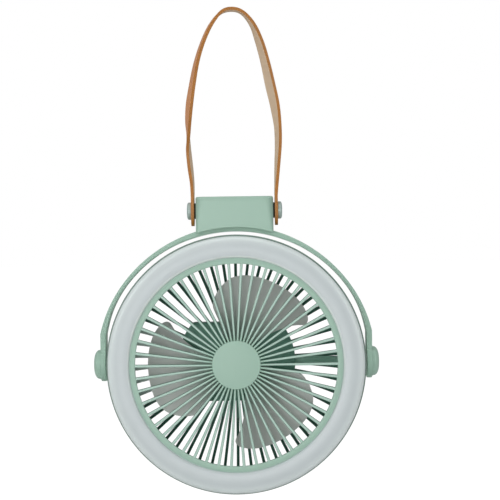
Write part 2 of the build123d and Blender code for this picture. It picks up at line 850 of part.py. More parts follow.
# ---------------------------------------------------------------- wires inside the head
def make_led_wires():
    """Pair of wires from the light board through the duct to the control board's front."""
    arc_radius, (arc_r, arc_depth) = bowl_arc()
    middle_radius = arc_radius - (duct_inner_skin - duct_proud) / 2
    shroud_pass = shell_back - shell_wall - led_notch_depth / 2
    board_end = control_board_length / 2
    runs = []
    for z in (-led_wire_z, led_wire_z):
        points = [(led_hole_r(), tray_depth, z), (led_hole_r(), shroud_pass - wire_r / 2, z)]
        points.append((shroud_end_r + wire_r, shroud_pass, z))
        for share in (0.75, 0.46, 0.18):
            r = pod_r + share * (shroud_end_r - pod_r)
            points.append((r, arc_depth + sqrt(middle_radius**2 - (r - arc_r) ** 2), z))
        points.append((pod_r - pod_wall, cover_inner - cover_lip - wire_r - play, z))
        points.append((board_end + 3, board_back(), z))
        points.append((board_end + 2, control_board_depth - 2.5, z))
        points.append((board_end - 3, control_board_depth - 3, z))
        points.append((board_end - 3, control_board_depth, z))
        runs.append(wire(wire_r, led_wire_bend, points))
    return group(runs)


def make_motor_wires():
    runs = []
    for x in (-motor_wire_pitch, 0, motor_wire_pitch):
        board_z = control_board_height / 2 - board_post_r
        points = [
            (x, motor_board_front() + board_thickness, motor_wire_z),
            (x, pod_front + pod_wall + 2.5, motor_wire_z),
            (x, control_board_depth - 2.5, board_z),
            (x, control_board_depth, board_z),
        ]
        runs.append(wire(motor_wire_r, 1.5, points))
    return group(runs)


def make_battery_wires():
    runs = []
    radius = board_thickness / 2
    x = cell_length / 2 + contact_thickness + radius + slip
    depth = control_board_depth + board_thickness / 2
    for side in (-1, 1):
        z = side * (control_board_height / 2 - 3.5)
        points = [
            (x, cell_depth(), side * (cell_height - contact_width / 4)),
            (x, depth, z),
            (control_board_length / 2, depth, z),
        ]
        runs.append(wire(radius, 1.2, points))
    return group(runs)


# ---------------------------------------------------------------- tilt pivots
def make_pivot_inserts():
    start = pivot_face - pivot_insert_length
    insert = crosswise(pivot_insert_r, start, pivot_face, pivot_depth)
    insert -= crosswise(pivot_thread_r + slip, start, pivot_face, pivot_depth)
    return group(both_sides(insert))


def make_pivot_screws():
    """Shoulder screws: thread in the insert, shoulder in the bracket's ear, head under the knob."""
    head_start = leg_outer_x + running_gap
    screw = crosswise(pivot_thread_r, pivot_face - pivot_insert_length, pivot_face, pivot_depth)
    screw += crosswise(pivot_shoulder_r, pivot_face, head_start, pivot_depth)
    head = crosswise(pivot_head_r, head_start, head_start + pivot_head_height, pivot_depth)
    head = fillet(head.edges().group_by(Axis.X)[-1], pivot_head_round)
    return group(both_sides(screw + head))


def make_pivot_washers():
    start = leg_inner_x - pivot_washer_thickness
    washer = crosswise(pivot_boss_r - play, start, leg_inner_x)
    return group(both_sides(washer - crosswise(pivot_shoulder_r + 2 * snug, start, leg_inner_x)))


def make_pivot_knobs():
    """Domed caps that clip onto the ears, over the pivot screws' heads."""
    outer = leg_outer_x + knob_height
    knob = crosswise(knob_r, leg_outer_x, outer)
    knob = fillet(knob.edges().group_by(Axis.X)[-1], knob_round)
    knob += crosswise(knob_flange_r, leg_outer_x, leg_outer_x + knob_flange)
    hollow = crosswise(knob_r - knob_round, leg_outer_x, outer - knob_wall)
    return group(both_sides(knob - hollow))


# ---------------------------------------------------------------- bracket and its block
def arch(outer_r, inner_r, outer_x, inner_x, width):
    """Arch around the head: concentric above, with level-sided legs down to the tilt axis."""
    height = outer_r + merge
    window = Pos(0, height / 2) * Rectangle(2 * outer_x, height)
    outer = Circle(outer_r) & window
    inner = Circle(inner_r) & Rectangle(2 * inner_x, 2 * height)
    return prism(outer - inner, -width / 2, width / 2)


def make_bracket():
    bracket = arch(bracket_outer_r, bracket_inner_r, leg_outer_x, leg_inner_x, bracket_width)
    for side in (-1, 1):
        bracket += crosswise(ear_r, side * leg_inner_x, side * leg_outer_x)
    for side in (-1, 1):
        hole_r = pivot_shoulder_r + running_gap
        bracket -= crosswise(hole_r, side * leg_inner_x, side * leg_outer_x)
        x = side * block_screw_x
        bracket -= upright(screw_r + snug, bracket_inner_r - merge, bracket_outer_r + merge, x)
    return bracket


def block_prism(inset, bottom, top, corner):
    length, width = block_length - 2 * inset, block_width - 2 * inset
    outline = RectangleRounded(length, width, corner)
    return extrude(Plane.XY.offset(bottom) * outline, top - bottom)


def block_floor():
    return bracket_outer_r + snug + block_wall


def make_block_shell():
    """Hollow saddle over the top of the arch, with bosses for the strap's studs and the lid."""
    lid_bottom = block_top - lid_thickness
    bottom = sqrt(block_arch_r**2 - (block_length / 2) ** 2) - merge
    shell = block_prism(0, bottom, lid_bottom, block_corner_round)
    shell -= drum(block_arch_r, -block_width, block_width)
    shell -= prism(Circle(bracket_outer_r + snug), -bracket_width / 2 - snug, bracket_width / 2 + snug)
    shell -= block_prism(block_wall, block_floor(), lid_bottom, block_corner_round - block_wall)
    inner_x = block_length / 2 - stud_insert_length
    for side in (-1, 1):
        boss_outer = side * (block_length / 2 - merge)
        shell += crosswise(stud_insert_r + insert_wall, side * inner_x, boss_outer, 0, stud_height)
        shell -= crosswise(stud_insert_r + snug, side * inner_x, side * block_length / 2, 0, stud_height)
        shell += upright(screw_r + insert_wall, block_floor() - merge, lid_bottom, side * lid_screw_x)
        hole_bottom = block_top - screw_head_height - lid_screw_reach - merge
        shell -= upright(screw_r + snug, hole_bottom, lid_bottom, side * lid_screw_x)
        shell -= upright(screw_r + snug, bracket_inner_r, block_floor(), side * block_screw_x)
    return shell


def make_block_lid():
    lid = block_prism(0, block_top - lid_thickness, block_top, block_corner_round)
    lid = fillet(lid.edges().group_by(Axis.Z)[-1], lid_round)
    for side in (-1, 1):
        lid -= upright(screw_r + snug, block_top - lid_thickness, block_top, side * lid_screw_x)
        lid -= upright(screw_head_r + 2 * snug, block_top - screw_head_height, block_top, side * lid_screw_x)
    return lid


def make_lid_screws():
    screws = []
    for side in (-1, 1):
        x, head_bottom = side * lid_screw_x, block_top - screw_head_height
        head = upright(screw_head_r, head_bottom, block_top - lid_screw_set_back, x)
        cut_bottom = block_top - lid_screw_set_back - slot_depth
        head -= extrude(Plane.XY.offset(cut_bottom) * Pos(x, 0) * cross_slot(), slot_depth)
        screws.append(head + upright(screw_r, head_bottom - lid_screw_reach, head_bottom, x))
    return group(screws)


def make_block_screws():
    screws = []
    for side in (-1, 1):
        x = side * block_screw_x
        shank = upright(screw_r, bracket_inner_r + block_screw_set_back, block_floor(), x)
        head_top = block_floor() + screw_head_height
        screws.append(shank + upright(screw_head_r, block_floor(), head_top, x))
    return group(screws)


# ---------------------------------------------------------------- strap and its studs
def make_stud_inserts():
    inner, outer = block_length / 2 - stud_insert_length, block_length / 2
    insert = crosswise(stud_insert_r, inner, outer, 0, stud_height)
    return group(both_sides(insert - crosswise(stud_r + slip, inner, outer, 0, stud_height)))


def make_strap_studs():
    """Round-headed studs that pass through the strap's ends into the block."""
    head_start = strap_outer_x + 2 * running_gap
    stud = crosswise(stud_r, block_length / 2 - stud_insert_length, head_start, 0, stud_height)
    head = crosswise(stud_head_r, head_start, head_start + stud_head_height, 0, stud_height)
    head = fillet(head.edges().group_by(Axis.X)[-1], stud_head_height / 2)
    return group(both_sides(stud + head))


def make_strap_washers():
    start, end = block_length / 2, block_length / 2 + strap_washer_thickness
    washer = crosswise(strap_washer_r, start, end, 0, stud_height)
    return group(both_sides(washer - crosswise(stud_r + snug, start, end, 0, stud_height)))


def strap_section(share_x, share_z, turn, ahead):
    """Cross-section of the leather at one station, square to the way ahead."""
    across = Vector(0, 1, 0).rotate(Axis.Z, turn)
    way = ahead.normalized()
    across = (across - way * across.dot(way)).normalized()
    return Plane(strap_point(share_x, share_z, turn), x_dir=across, z_dir=way) * Rectangle(
        strap_width, strap_thickness
    )


def strap_point(share_x, share_z, turn):
    """Place of a station: its shares of the half-width and of the rise, and the loop's turn there."""
    x = strap_x * share_x
    return Vector(x, x * sin(radians(turn)), strap_flat_top + strap_rise * share_z)


def make_strap():
    """Leather loop. Its upper part is turned about the vertical, so the strands twist a little."""
    stations = [
        (-1, 0, 0), (-1.008, 0.065, -2), (-1.05, 0.16, -6), (-1.09, 0.27, -3), (-1.078, 0.378, 10.5),
        (-1.035, 0.485, 16), (-0.962, 0.595, 14), (-0.855, 0.716, 11.5), (-0.70, 0.824, 10.5),
        (-0.504, 0.916, 11), (-0.265, 0.982, 11), (0, 1, 10), (0.255, 0.983, 9), (0.491, 0.92, 10),
        (0.654, 0.83, 15), (0.793, 0.717, 18), (0.901, 0.604, 21), (1.004, 0.497, 19),
        (1.066, 0.391, 13), (1.077, 0.284, 11), (1.048, 0.177, 9), (1.02, 0.077, 6), (1, 0, 0),
    ]
    points = [strap_point(*station) for station in stations]
    ahead = [points[min(k + 1, len(points) - 1)] - points[max(k - 1, 0)] for k in range(len(points))]
    ahead[0], ahead[-1] = Vector(0, 0, 1), Vector(0, 0, -1)
    sections = [strap_section(*station, way) for station, way in zip(stations, ahead)]
    strap = loft(sections)
    end_centre = stud_height - strap_tail + strap_width / 2
    half = strap_width / 2
    for side in (-1, 1):
        near, far = sorted((side * strap_inner_x, side * strap_outer_x))
        strap += block(near, far, -half, half, end_centre, strap_flat_top)
        strap += crosswise(half, near, far, 0, end_centre)
        strap -= crosswise(stud_r + running_gap, near, far, 0, stud_height)
    return strap


# ---------------------------------------------------------------- write every piece
head_pieces = {
    "rear_shell": make_rear_shell(),
    "light_tray": make_light_tray(),
    "light_board": make_light_board(),
    "lights": make_lights(),
    "tray_screws": make_tray_screws(),
    "diffuser_ring": make_diffuser_ring(),
    "front_grille": make_front_grille(),
    "fan_rotor": make_fan_rotor(),
    "flux_ring": make_flux_ring(),
    "magnet_ring": make_magnet_ring(),
    "fan_shaft": make_fan_shaft(),
    "shaft_clip": make_shaft_clip(),
    "front_bearing": make_bearing(bearing_fronts()[0]),
    "rear_bearing": make_bearing(bearing_fronts()[1]),
    "motor_mount": make_motor_mount(),
    "motor_screws": make_motor_screws(),
    "motor_board": make_motor_board(),
    "stator_core": make_stator_core(),
    "stator_coils": make_stator_coils(),
    "battery_cells": make_battery_cells(),
    "battery_contacts": make_battery_contacts(),
    "control_board": make_control_board(),
    "push_switches": make_push_switches(),
    "fan_plunger": make_plunger(fan_button_x),
    "light_plunger": make_plunger(light_button_x),
    "usb_port": make_usb_port(),
    "charge_lights": make_charge_lights(),
    "pod_cover": make_pod_cover(),
    "cover_screws": make_cover_screws(),
    "fan_button": make_button(fan_button_x),
    "light_button": make_button(light_button_x),
    "led_wires": make_led_wires(),
    "motor_wires": make_motor_wires(),
    "battery_wires": make_battery_wires(),
    "pivot_inserts": make_pivot_inserts(),
    "pivot_screws": make_pivot_screws(),
}
bracket_pieces = {
    "pivot_washers": make_pivot_washers(),
    "pivot_knobs": make_pivot_knobs(),
    "bracket": make_bracket(),
    "block_shell": make_block_shell(),
    "block_lid": make_block_lid(),
    "lid_screws": make_lid_screws(),
    "block_screws": make_block_screws(),
    "stud_inserts": make_stud_inserts(),
    "strap_studs": make_strap_studs(),
    "strap_washers": make_strap_washers(),
    "strap": make_strap(),
}
for name, piece in head_pieces.items():
    save(name, piece, head_place)
for name, piece in bracket_pieces.items():
    save(name, piece, bracket_place)
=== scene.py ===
from math import asin, atan2, cos, hypot, pi, radians, sin, sqrt

import bpy
from mathutils import Matrix, Vector


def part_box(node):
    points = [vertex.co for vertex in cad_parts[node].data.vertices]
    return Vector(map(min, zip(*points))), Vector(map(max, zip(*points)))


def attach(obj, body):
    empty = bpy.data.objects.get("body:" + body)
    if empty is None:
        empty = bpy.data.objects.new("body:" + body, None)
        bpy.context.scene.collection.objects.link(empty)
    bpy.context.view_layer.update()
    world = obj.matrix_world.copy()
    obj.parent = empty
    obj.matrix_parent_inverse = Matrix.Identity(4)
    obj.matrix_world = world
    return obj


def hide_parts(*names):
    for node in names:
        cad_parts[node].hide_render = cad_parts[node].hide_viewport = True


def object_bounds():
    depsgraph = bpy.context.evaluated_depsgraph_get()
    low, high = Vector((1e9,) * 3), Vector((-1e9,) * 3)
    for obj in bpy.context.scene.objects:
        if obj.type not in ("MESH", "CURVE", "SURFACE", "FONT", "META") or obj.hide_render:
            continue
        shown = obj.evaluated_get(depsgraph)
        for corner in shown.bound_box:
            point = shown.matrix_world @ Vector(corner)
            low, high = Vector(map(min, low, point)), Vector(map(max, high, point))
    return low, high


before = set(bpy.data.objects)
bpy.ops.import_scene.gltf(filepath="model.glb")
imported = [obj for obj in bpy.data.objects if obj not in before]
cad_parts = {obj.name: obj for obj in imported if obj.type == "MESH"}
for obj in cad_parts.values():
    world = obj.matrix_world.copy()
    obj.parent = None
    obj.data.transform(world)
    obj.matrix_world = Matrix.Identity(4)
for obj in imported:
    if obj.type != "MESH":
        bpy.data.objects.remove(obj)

# Portable camping fan: a round fan head with a light ring, tilting in an arched bracket that hangs
# from a leather strap. Metres; X to the right, Y away from the viewer, whom the fan faces, Z up.
# The origin is the hanging point, inside the strap's apex.
cad_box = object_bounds()


# ---------------------------------------------------------------- rear shell
# The back half of the head, in one moulding of mint green plastic: the trough behind the light ring,
# a dished grille of fifty ribs with a duct for the light wires, and the pod for the cells.
MM = 0.001
ring_low, ring_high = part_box("diffuser_ring")
ring_front = ring_low.y
axis_z = (ring_low.z + ring_high.z) / 2
shell_r = 96 * MM
shell_inner_r = 94 * MM
opening_r = 79.5 * MM
shell_seat = ring_front + 8 * MM
shell_back = ring_front + 34 * MM
shell_corner = 6 * MM
shell_wall = 2 * MM
boss_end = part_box("rear_shell")[1].x
pivot_boss_r, insert_socket_r, insert_bore_r = 7 * MM, 5 * MM, 3.45 * MM
insert_socket_depth, insert_bore_depth = 9.6 * MM, 8 * MM
rib_count = 50
rear_rib_width = 2.2 * MM
rear_rib_depth = 4 * MM
rear_rib_start = 29 * MM
rear_rib_end = opening_r + 0.5 * MM
rear_rib_foot = opening_r - 1 * MM
duct_proud = 0.6 * MM
duct_depth = 6 * MM
duct_width = 6 * MM
duct_wall = 1.2 * MM
pod_r = 44.4 * MM
pod_half_height = 29.6 * MM
pod_corner = 3 * MM
pod_wall = 1.8 * MM
pod_front = ring_front + 33 * MM
pod_edge = 1.2 * MM
cover_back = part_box("pod_cover")[1].y
cover_seat = cover_back - 2 * MM
screw_bore = 1.45 * MM
motor_tube_r, motor_wire_hole_r, motor_wire_z = 5.5 * MM, 2.2 * MM, 9 * MM
motor_screw_circle_r = 12.9 * MM
cover_boss_r, board_post_r = 2.3 * MM, 2 * MM
cover_screw_places = [(x, z) for x in (-38 * MM, 38 * MM) for z in (-12.5 * MM, 12.5 * MM)]
board_post_places = [(x, z) for x in (-28.5 * MM, 28.5 * MM) for z in (-5.1 * MM, 5.1 * MM)]
board_seat = ring_front + 44 * MM
tray_post_r = 3 * MM
tray_circle_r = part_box("tray_screws")[1].x - 2.6 * MM
tray_back = ring_front + 13.4 * MM


# a step of 1 along each axis
axes = {"X": Vector((1, 0, 0)), "Y": Vector((0, 1, 0)), "Z": Vector((0, 0, 1))}


def new_piece(name, add, **settings):
    """A new piece, selected alone, made by one of Blender's operators that add a mesh."""
    bpy.ops.object.select_all(action="DESELECT")
    add(**settings)
    piece = bpy.context.object
    piece.name = piece.data.name = name
    return piece


def drawn_line(name, points):
    """A new piece in edit mode: a line through the points."""
    piece = new_piece(name, bpy.ops.mesh.primitive_plane_add, size=MM)
    bpy.ops.object.mode_set(mode="EDIT")
    bpy.ops.mesh.merge(type="CENTER")
    bpy.ops.transform.translate(value=points[0])
    for here, there in zip(points, points[1:]):
        bpy.ops.mesh.extrude_region_move(TRANSFORM_OT_translate={"value": there - here})
    return piece


def turned(name, profile, axis="Y", steps=128, closed=True):
    """A piece turned about an axis through the origin. The profile is (radius, place along the axis)."""
    outward = axes["X" if axis == "Y" else "Z"]
    piece = drawn_line(name, [outward * r + axes[axis] * place for r, place in profile])
    if closed:
        bpy.ops.mesh.select_all(action="DESELECT")
        bpy.ops.object.mode_set(mode="OBJECT")
        vertices = piece.data.vertices
        vertices[0].select = vertices[len(vertices) - 1].select = True
        bpy.ops.object.mode_set(mode="EDIT")
        bpy.ops.mesh.edge_face_add()
    bpy.ops.mesh.select_all(action="SELECT")
    bpy.ops.mesh.spin(steps=steps, angle=2 * pi, center=(0, 0, 0), axis=axes[axis], use_auto_merge=True)
    bpy.ops.mesh.select_all(action="SELECT")
    bpy.ops.mesh.remove_doubles(threshold=0.01 * MM)
    bpy.ops.mesh.normals_make_consistent(inside=False)
    bpy.ops.object.mode_set(mode="OBJECT")
    return piece


def plate(name, outline, low, high, axis="Y"):
    """A plate with this outline, drawn point by point and extruded along the axis from low to high.
    The outline is (x, z) for a plate along Y, and (y, z) for one along X."""
    across = axes["X" if axis == "Y" else "Y"]
    piece = drawn_line(name, [across * a + axes[axis] * low + axes["Z"] * z for a, z in outline])
    bpy.ops.mesh.select_all(action="SELECT")
    bpy.ops.mesh.edge_face_add()
    bpy.ops.mesh.extrude_region_move(TRANSFORM_OT_translate={"value": axes[axis] * (high - low)})
    bpy.ops.mesh.select_all(action="SELECT")
    bpy.ops.mesh.normals_make_consistent(inside=False)
    bpy.ops.object.mode_set(mode="OBJECT")
    return piece


def tube(name, bore, radius, low, high, axis="Y", steps=24):
    """A turned tube between two places along the axis, as bosses, posts and washers are."""
    return turned(name, [(bore, low), (radius, low), (radius, high), (bore, high)], axis, steps)


def arc(radius, start, end, steps, centre=(0, 0)):
    """Points of an arc. Angles are in radians, from the first axis towards the second."""
    turns = [start + (end - start) * k / steps for k in range(steps + 1)]
    return [(centre[0] + radius * cos(t), centre[1] + radius * sin(t)) for t in turns]


def drum(name, radius, low, high, axis="X", steps=64, place=(0, 0, 0)):
    """A cylinder along X, Y or Z between two places, shifted by place."""
    add_cylinder = bpy.ops.mesh.primitive_cylinder_add
    piece = new_piece(name, add_cylinder, radius=radius, depth=high - low, vertices=steps)
    turn = {"X": Matrix.Rotation(pi / 2, 4, "Y"), "Y": Matrix.Rotation(pi / 2, 4, "X"), "Z": Matrix()}[axis]
    piece.data.transform(Matrix.Translation(Vector(place) + axes[axis] * (low + high) / 2) @ turn)
    return piece


def box_piece(name, low, high):
    """A cube at its size and place, with its place in its mesh."""
    low, high = Vector(low), Vector(high)
    add_cube = bpy.ops.mesh.primitive_cube_add
    piece = new_piece(name, add_cube, size=1, location=(low + high) / 2, scale=high - low)
    bpy.ops.object.transform_apply(location=True, rotation=True, scale=True)
    return piece


def pick(piece):
    """Selects this piece alone and makes it the active one."""
    bpy.ops.object.select_all(action="DESELECT")
    piece.select_set(True)
    bpy.context.view_layer.objects.active = piece


def apply(piece, kind, **settings):
    """Adds a modifier with these settings and applies it."""
    pick(piece)
    modifier = piece.modifiers.new(kind.title(), kind)
    for key, value in settings.items():
        setattr(modifier, key, value)
    bpy.ops.object.modifier_apply(modifier=modifier.name)


def smooth(piece, angle=40):
    pick(piece)
    bpy.ops.object.shade_smooth_by_angle(angle=radians(angle))


def soften(piece, width, segments=3, angle=35, smooth_angle=40):
    """Rounds the piece's sharp edges and shades it smooth between them."""
    apply(piece, "BEVEL", width=width, segments=segments, limit_method="ANGLE",
          angle_limit=radians(angle), miter_outer="MITER_ARC", harden_normals=False)
    smooth(piece, smooth_angle)


def bevel_edges(piece, width, segments, chosen):
    """Bevels the edges whose two ends the chosen test accepts."""
    pick(piece)
    bpy.ops.object.mode_set(mode="EDIT")
    bpy.ops.mesh.select_mode(type="EDGE")
    bpy.ops.mesh.select_all(action="DESELECT")
    bpy.ops.object.mode_set(mode="OBJECT")
    vertices = piece.data.vertices
    for edge in piece.data.edges:
        edge.select = chosen(vertices[edge.vertices[0]].co, vertices[edge.vertices[1]].co)
    bpy.ops.object.mode_set(mode="EDIT")
    bpy.ops.mesh.bevel(offset=width, segments=segments, affect="EDGES")
    bpy.ops.mesh.select_mode(type="VERT")
    bpy.ops.object.mode_set(mode="OBJECT")


def boolean(piece, operation, *tools):
    """Unites the tools with the piece or cuts them from it, and deletes them."""
    for tool in tools:
        apply(piece, "BOOLEAN", operation=operation, object=tool, solver="EXACT")
        bpy.data.objects.remove(tool)


def drill(piece, radius, low, high, axis="Y", steps=24, place=(0, 0, 0)):
    """Cuts a round hole along an axis, from low to high, shifted by place."""
    boolean(piece, "DIFFERENCE", drum("drill", radius, low, high, axis, steps, place))


def move_mesh(piece, x=0.0, y=0.0, z=0.0):
    piece.data.transform(Matrix.Translation((x, y, z)))


def turn_mesh(piece, degrees, axis="Y"):
    piece.data.transform(Matrix.Rotation(radians(degrees), 4, axis))


def copied(piece, name):
    """A copy of the piece with a mesh of its own."""
    twin = piece.copy()
    twin.data = piece.data.copy()
    twin.name = twin.data.name = name
    bpy.context.collection.objects.link(twin)
    return twin


def join(first, *others):
    pick(first)
    for piece in others:
        piece.select_set(True)
    bpy.ops.object.join()
    return first


def around_axis(piece, count):
    """Repeats the whole mesh around the fan's axis, which runs through the origin."""
    pick(piece)
    bpy.ops.object.mode_set(mode="EDIT")
    bpy.ops.mesh.select_all(action="SELECT")
    bpy.ops.mesh.spin(
        steps=count - 1, dupli=True, angle=2 * pi * (count - 1) / count,
        center=(0, 0, 0), axis=(0, 1, 0),
    )
    bpy.ops.object.mode_set(mode="OBJECT")


def pod_outline(inset=0.0):
    """Front view of the pod: a circle cut by two level flats, with rounded corners."""
    radius, corner = pod_r - inset, pod_corner - inset / 2
    corner_z = pod_half_height - inset - corner
    corner_x = sqrt((radius - corner) ** 2 - corner_z**2)
    start = atan2(corner_z, corner_x)
    quarter = arc(radius, 0, start, 14) + arc(corner, start, pi / 2, 5, (corner_x, corner_z))[1:]
    upper = quarter + [(-x, z) for x, z in reversed(quarter)]
    return upper + [(-x, -z) for x, z in upper[1:-1]]


# the dished grille's arc in section, from the trough's back to the pod's rear edge
dish_rim_r = opening_r + 2.5 * MM
dish_rise = cover_seat - 0.5 * MM - shell_back
dish_chord = hypot(dish_rim_r - pod_r, dish_rise)
dish_radius = 1.2 * dish_chord**2 / (2 * dish_rise)
dish_reach = sqrt(dish_radius**2 - (dish_chord / 2) ** 2)
dish_centre_r = (dish_rim_r + pod_r) / 2 - dish_rise / dish_chord * dish_reach
dish_centre_y = shell_back + dish_rise / 2 - (dish_rim_r - pod_r) / dish_chord * dish_reach


def dish_y(radius, inward):
    """Place along Y of the dish at a radius, this far in from its outer skin."""
    return dish_centre_y + sqrt((dish_radius - inward) ** 2 - (radius - dish_centre_r) ** 2)


def dish_strip(name, width, inner_r, outer_r, skin, floor, trim_r=None):
    """A strip of the dish at the top of the head, between two depths in from the outer skin. In front
    of the trough's back wall it ends at the trim radius, where the shroud stands."""
    steps = 14
    radii = [inner_r + (outer_r - inner_r) * k / steps for k in range(steps + 1)]
    outline = [(dish_y(r, skin), r) for r in radii]
    if trim_r:
        outline += [(shell_back - shell_wall, outer_r), (shell_back - shell_wall, trim_r)]
    outline += [(dish_y(r, floor), r) for r in reversed(radii) if not trim_r or r < trim_r]
    return plate(name, outline, -width / 2, width / 2, axis="X")


corner_r, corner_y = shell_r - shell_corner, shell_back - shell_corner
trough_profile = [(opening_r, shell_back - shell_wall)]
trough_profile += arc(shell_corner - shell_wall, pi / 2, 0, 5, (corner_r, corner_y))
trough_profile += [(shell_inner_r, shell_seat), (shell_r, shell_seat)]
trough_profile += arc(shell_corner, 0, pi / 2, 7, (corner_r, corner_y)) + [(opening_r, shell_back)]
rear_shell = turned("rear_shell_moulding", trough_profile, steps=180)
for side in (-1, 1):
    for radius, start, end in (
        (pivot_boss_r, shell_inner_r - 1 * MM, boss_end),
        (insert_socket_r, boss_end - insert_socket_depth, boss_end - 0.5 * MM),
    ):
        boss_low, boss_high = sorted((side * start, side * end))
        boolean(rear_shell, "UNION", drum("pivot_boss", radius, boss_low, boss_high, steps=48))
    bore_ends = sorted((side * (boss_end - insert_bore_depth), side * (boss_end + 1 * MM)))
    drill(rear_shell, insert_bore_r, *bore_ends, axis="X", steps=48)
soften(rear_shell, 0.4 * MM, segments=2, angle=40)
rib = dish_strip("rear_rib", rear_rib_width, rear_rib_start, rear_rib_end, 0, rear_rib_depth, rear_rib_foot)
soften(rib, 0.45 * MM, segments=2)
around_axis(rib, rib_count)
boolean(rib, "DIFFERENCE", plate("pod_room", pod_outline(1 * MM), pod_front, cover_back))
duct_start = pod_r - pod_wall
duct = dish_strip("wire_duct", duct_width, duct_start, rear_rib_end, -duct_proud, duct_depth, rear_rib_foot)
soften(duct, 0.8 * MM)
for piece in (duct, rear_shell):
    hollow = dish_strip("duct_room", duct_width - 2 * duct_wall, pod_r - 4 * MM, opening_r + 5 * MM,
                        duct_wall - duct_proud, duct_depth - duct_wall)
    if piece is rear_shell:
        turn_mesh(hollow, 90)
    boolean(piece, "DIFFERENCE", hollow)
turn_mesh(duct, 90)
pod = plate("pod", pod_outline(), pod_front, cover_seat)
bevel_edges(pod, pod_edge, 4, lambda a, b: max(a.y, b.y) < pod_front + 0.01 * MM)
boolean(pod, "DIFFERENCE", plate("pod_room", pod_outline(pod_wall), pod_front + pod_wall, cover_back))
through_floor = pod_front - 1 * MM, pod_front + 3 * MM
drill(pod, motor_tube_r, *through_floor, steps=64)
drill(pod, motor_wire_hole_r, *through_floor, place=(0, 0, motor_wire_z))
for turn in (60, 180, 300):
    place = Vector((sin(radians(turn)), 0, cos(radians(turn)))) * motor_screw_circle_r
    drill(pod, screw_bore, *through_floor, place=place)
smooth(pod)
bosses = []
for places, radius, end in (
    (cover_screw_places, cover_boss_r, cover_seat),
    (board_post_places, board_post_r, board_seat),
):
    for x, z in places:
        boss = tube("pod_boss", screw_bore, radius, pod_front + 1 * MM, end)
        move_mesh(boss, x=x, z=z)
        bosses.append(boss)
post = tube("tray_post", screw_bore, tray_post_r, tray_back, shell_back - 1 * MM)
move_mesh(post, x=tray_circle_r)
turn_mesh(post, 5)
around_axis(post, 6)
join(rear_shell, rib, duct, pod, post, *bosses)
move_mesh(rear_shell, z=axis_z)
smooth(rear_shell)


def fill(node, inputs):
    """Sets a node's inputs, by name or number, to numbers, colours or other nodes' outputs."""
    for name, value in inputs.items():
        socket = node.inputs[name]
        if isinstance(value, bpy.types.NodeSocket):
            node.id_data.links.new(value, socket)
        elif socket.type == "RGBA":
            socket.default_value = (*value, 1)
        else:
            socket.default_value = value


def add_node(tree, kind, inputs=None, **settings):
    """A shader node of this kind with these settings and inputs."""
    node = tree.nodes.new("ShaderNode" + kind)
    for name, value in settings.items():
        setattr(node, name, value)
    fill(node, inputs or {})
    return node


def calc(tree, operation, *inputs):
    """Arithmetic on numbers or other nodes' outputs."""
    return add_node(tree, "Math", dict(enumerate(inputs)), operation=operation).outputs[0]


def eased(tree, value, start, end):
    """Rises smoothly from 0 to 1 while the value goes from start to end."""
    inputs = {"Value": value, "From Min": start, "From Max": end}
    return add_node(tree, "MapRange", inputs, interpolation_type="SMOOTHSTEP").outputs["Result"]


def tinted(tree, share, first, second):
    """Mixes two colours, given as numbers or as other nodes' outputs."""
    return add_node(tree, "MixRGB", {"Fac": share, "Color1": first, "Color2": second}).outputs["Color"]


def both(tree, first, second):
    """1 where two masks are both 1."""
    return calc(tree, "MULTIPLY", first, second)


def object_place(tree, source="Object"):
    """The x, y and z outputs of the place on the piece, or of the direction that its surface faces."""
    place = add_node(tree, "TexCoord").outputs[source]
    return add_node(tree, "SeparateXYZ", {"Vector": place}).outputs


def fan_radius(tree):
    """Distance of the place on the piece from the fan's axis."""
    x, y, z = object_place(tree)
    across = calc(tree, "SUBTRACT", z, axis_z)
    return calc(tree, "SQRT", calc(tree, "MULTIPLY_ADD", x, x, calc(tree, "MULTIPLY", across, across)))


def grain_group():
    """Shader group of moulded plastic: soft cloudiness of the colour, and the mould's fine texture."""
    group = bpy.data.node_groups.new("moulded_grain", "ShaderNodeTree")
    face = group.interface
    face.new_socket("Position", in_out="INPUT", socket_type="NodeSocketVector")
    face.new_socket("Color", in_out="INPUT", socket_type="NodeSocketColor")
    for socket, value in (("Cloud Size", 30.0), ("Cloud", 0.03), ("Grain Size", 3000.0),
                          ("Roughness", 0.45), ("Roughness Spread", 0.06)):
        face.new_socket(socket, in_out="INPUT", socket_type="NodeSocketFloat").default_value = value
    for socket, kind in (("Color", "Color"), ("Roughness", "Float"), ("Height", "Float")):
        face.new_socket(socket, in_out="OUTPUT", socket_type="NodeSocket" + kind)
    given, out = group.nodes.new("NodeGroupInput").outputs, group.nodes.new("NodeGroupOutput")
    noises = []
    for size, detail in (("Cloud Size", 3), ("Grain Size", 2)):
        inputs = {"Vector": given["Position"], "Scale": given[size], "Detail": detail}
        noises.append(add_node(group, "TexNoise", inputs).outputs["Fac"])
    centred = calc(group, "SUBTRACT", noises[0], 0.5)
    shade = calc(group, "MULTIPLY_ADD", centred, given["Cloud"], 1.0)
    tone = add_node(group, "VectorMath", {0: given["Color"], "Scale": shade}, operation="SCALE")
    roughness = calc(group, "MULTIPLY_ADD", centred, given["Roughness Spread"], given["Roughness"])
    fill(out, {"Color": tone.outputs[0], "Roughness": roughness, "Height": noises[1]})
    return group


moulded_grain = grain_group()


def new_material(name):
    """A new material, with its node tree and its shader."""
    material = bpy.data.materials.new(name)
    material.use_nodes = True
    return material, material.node_tree, material.node_tree.nodes["Principled BSDF"]


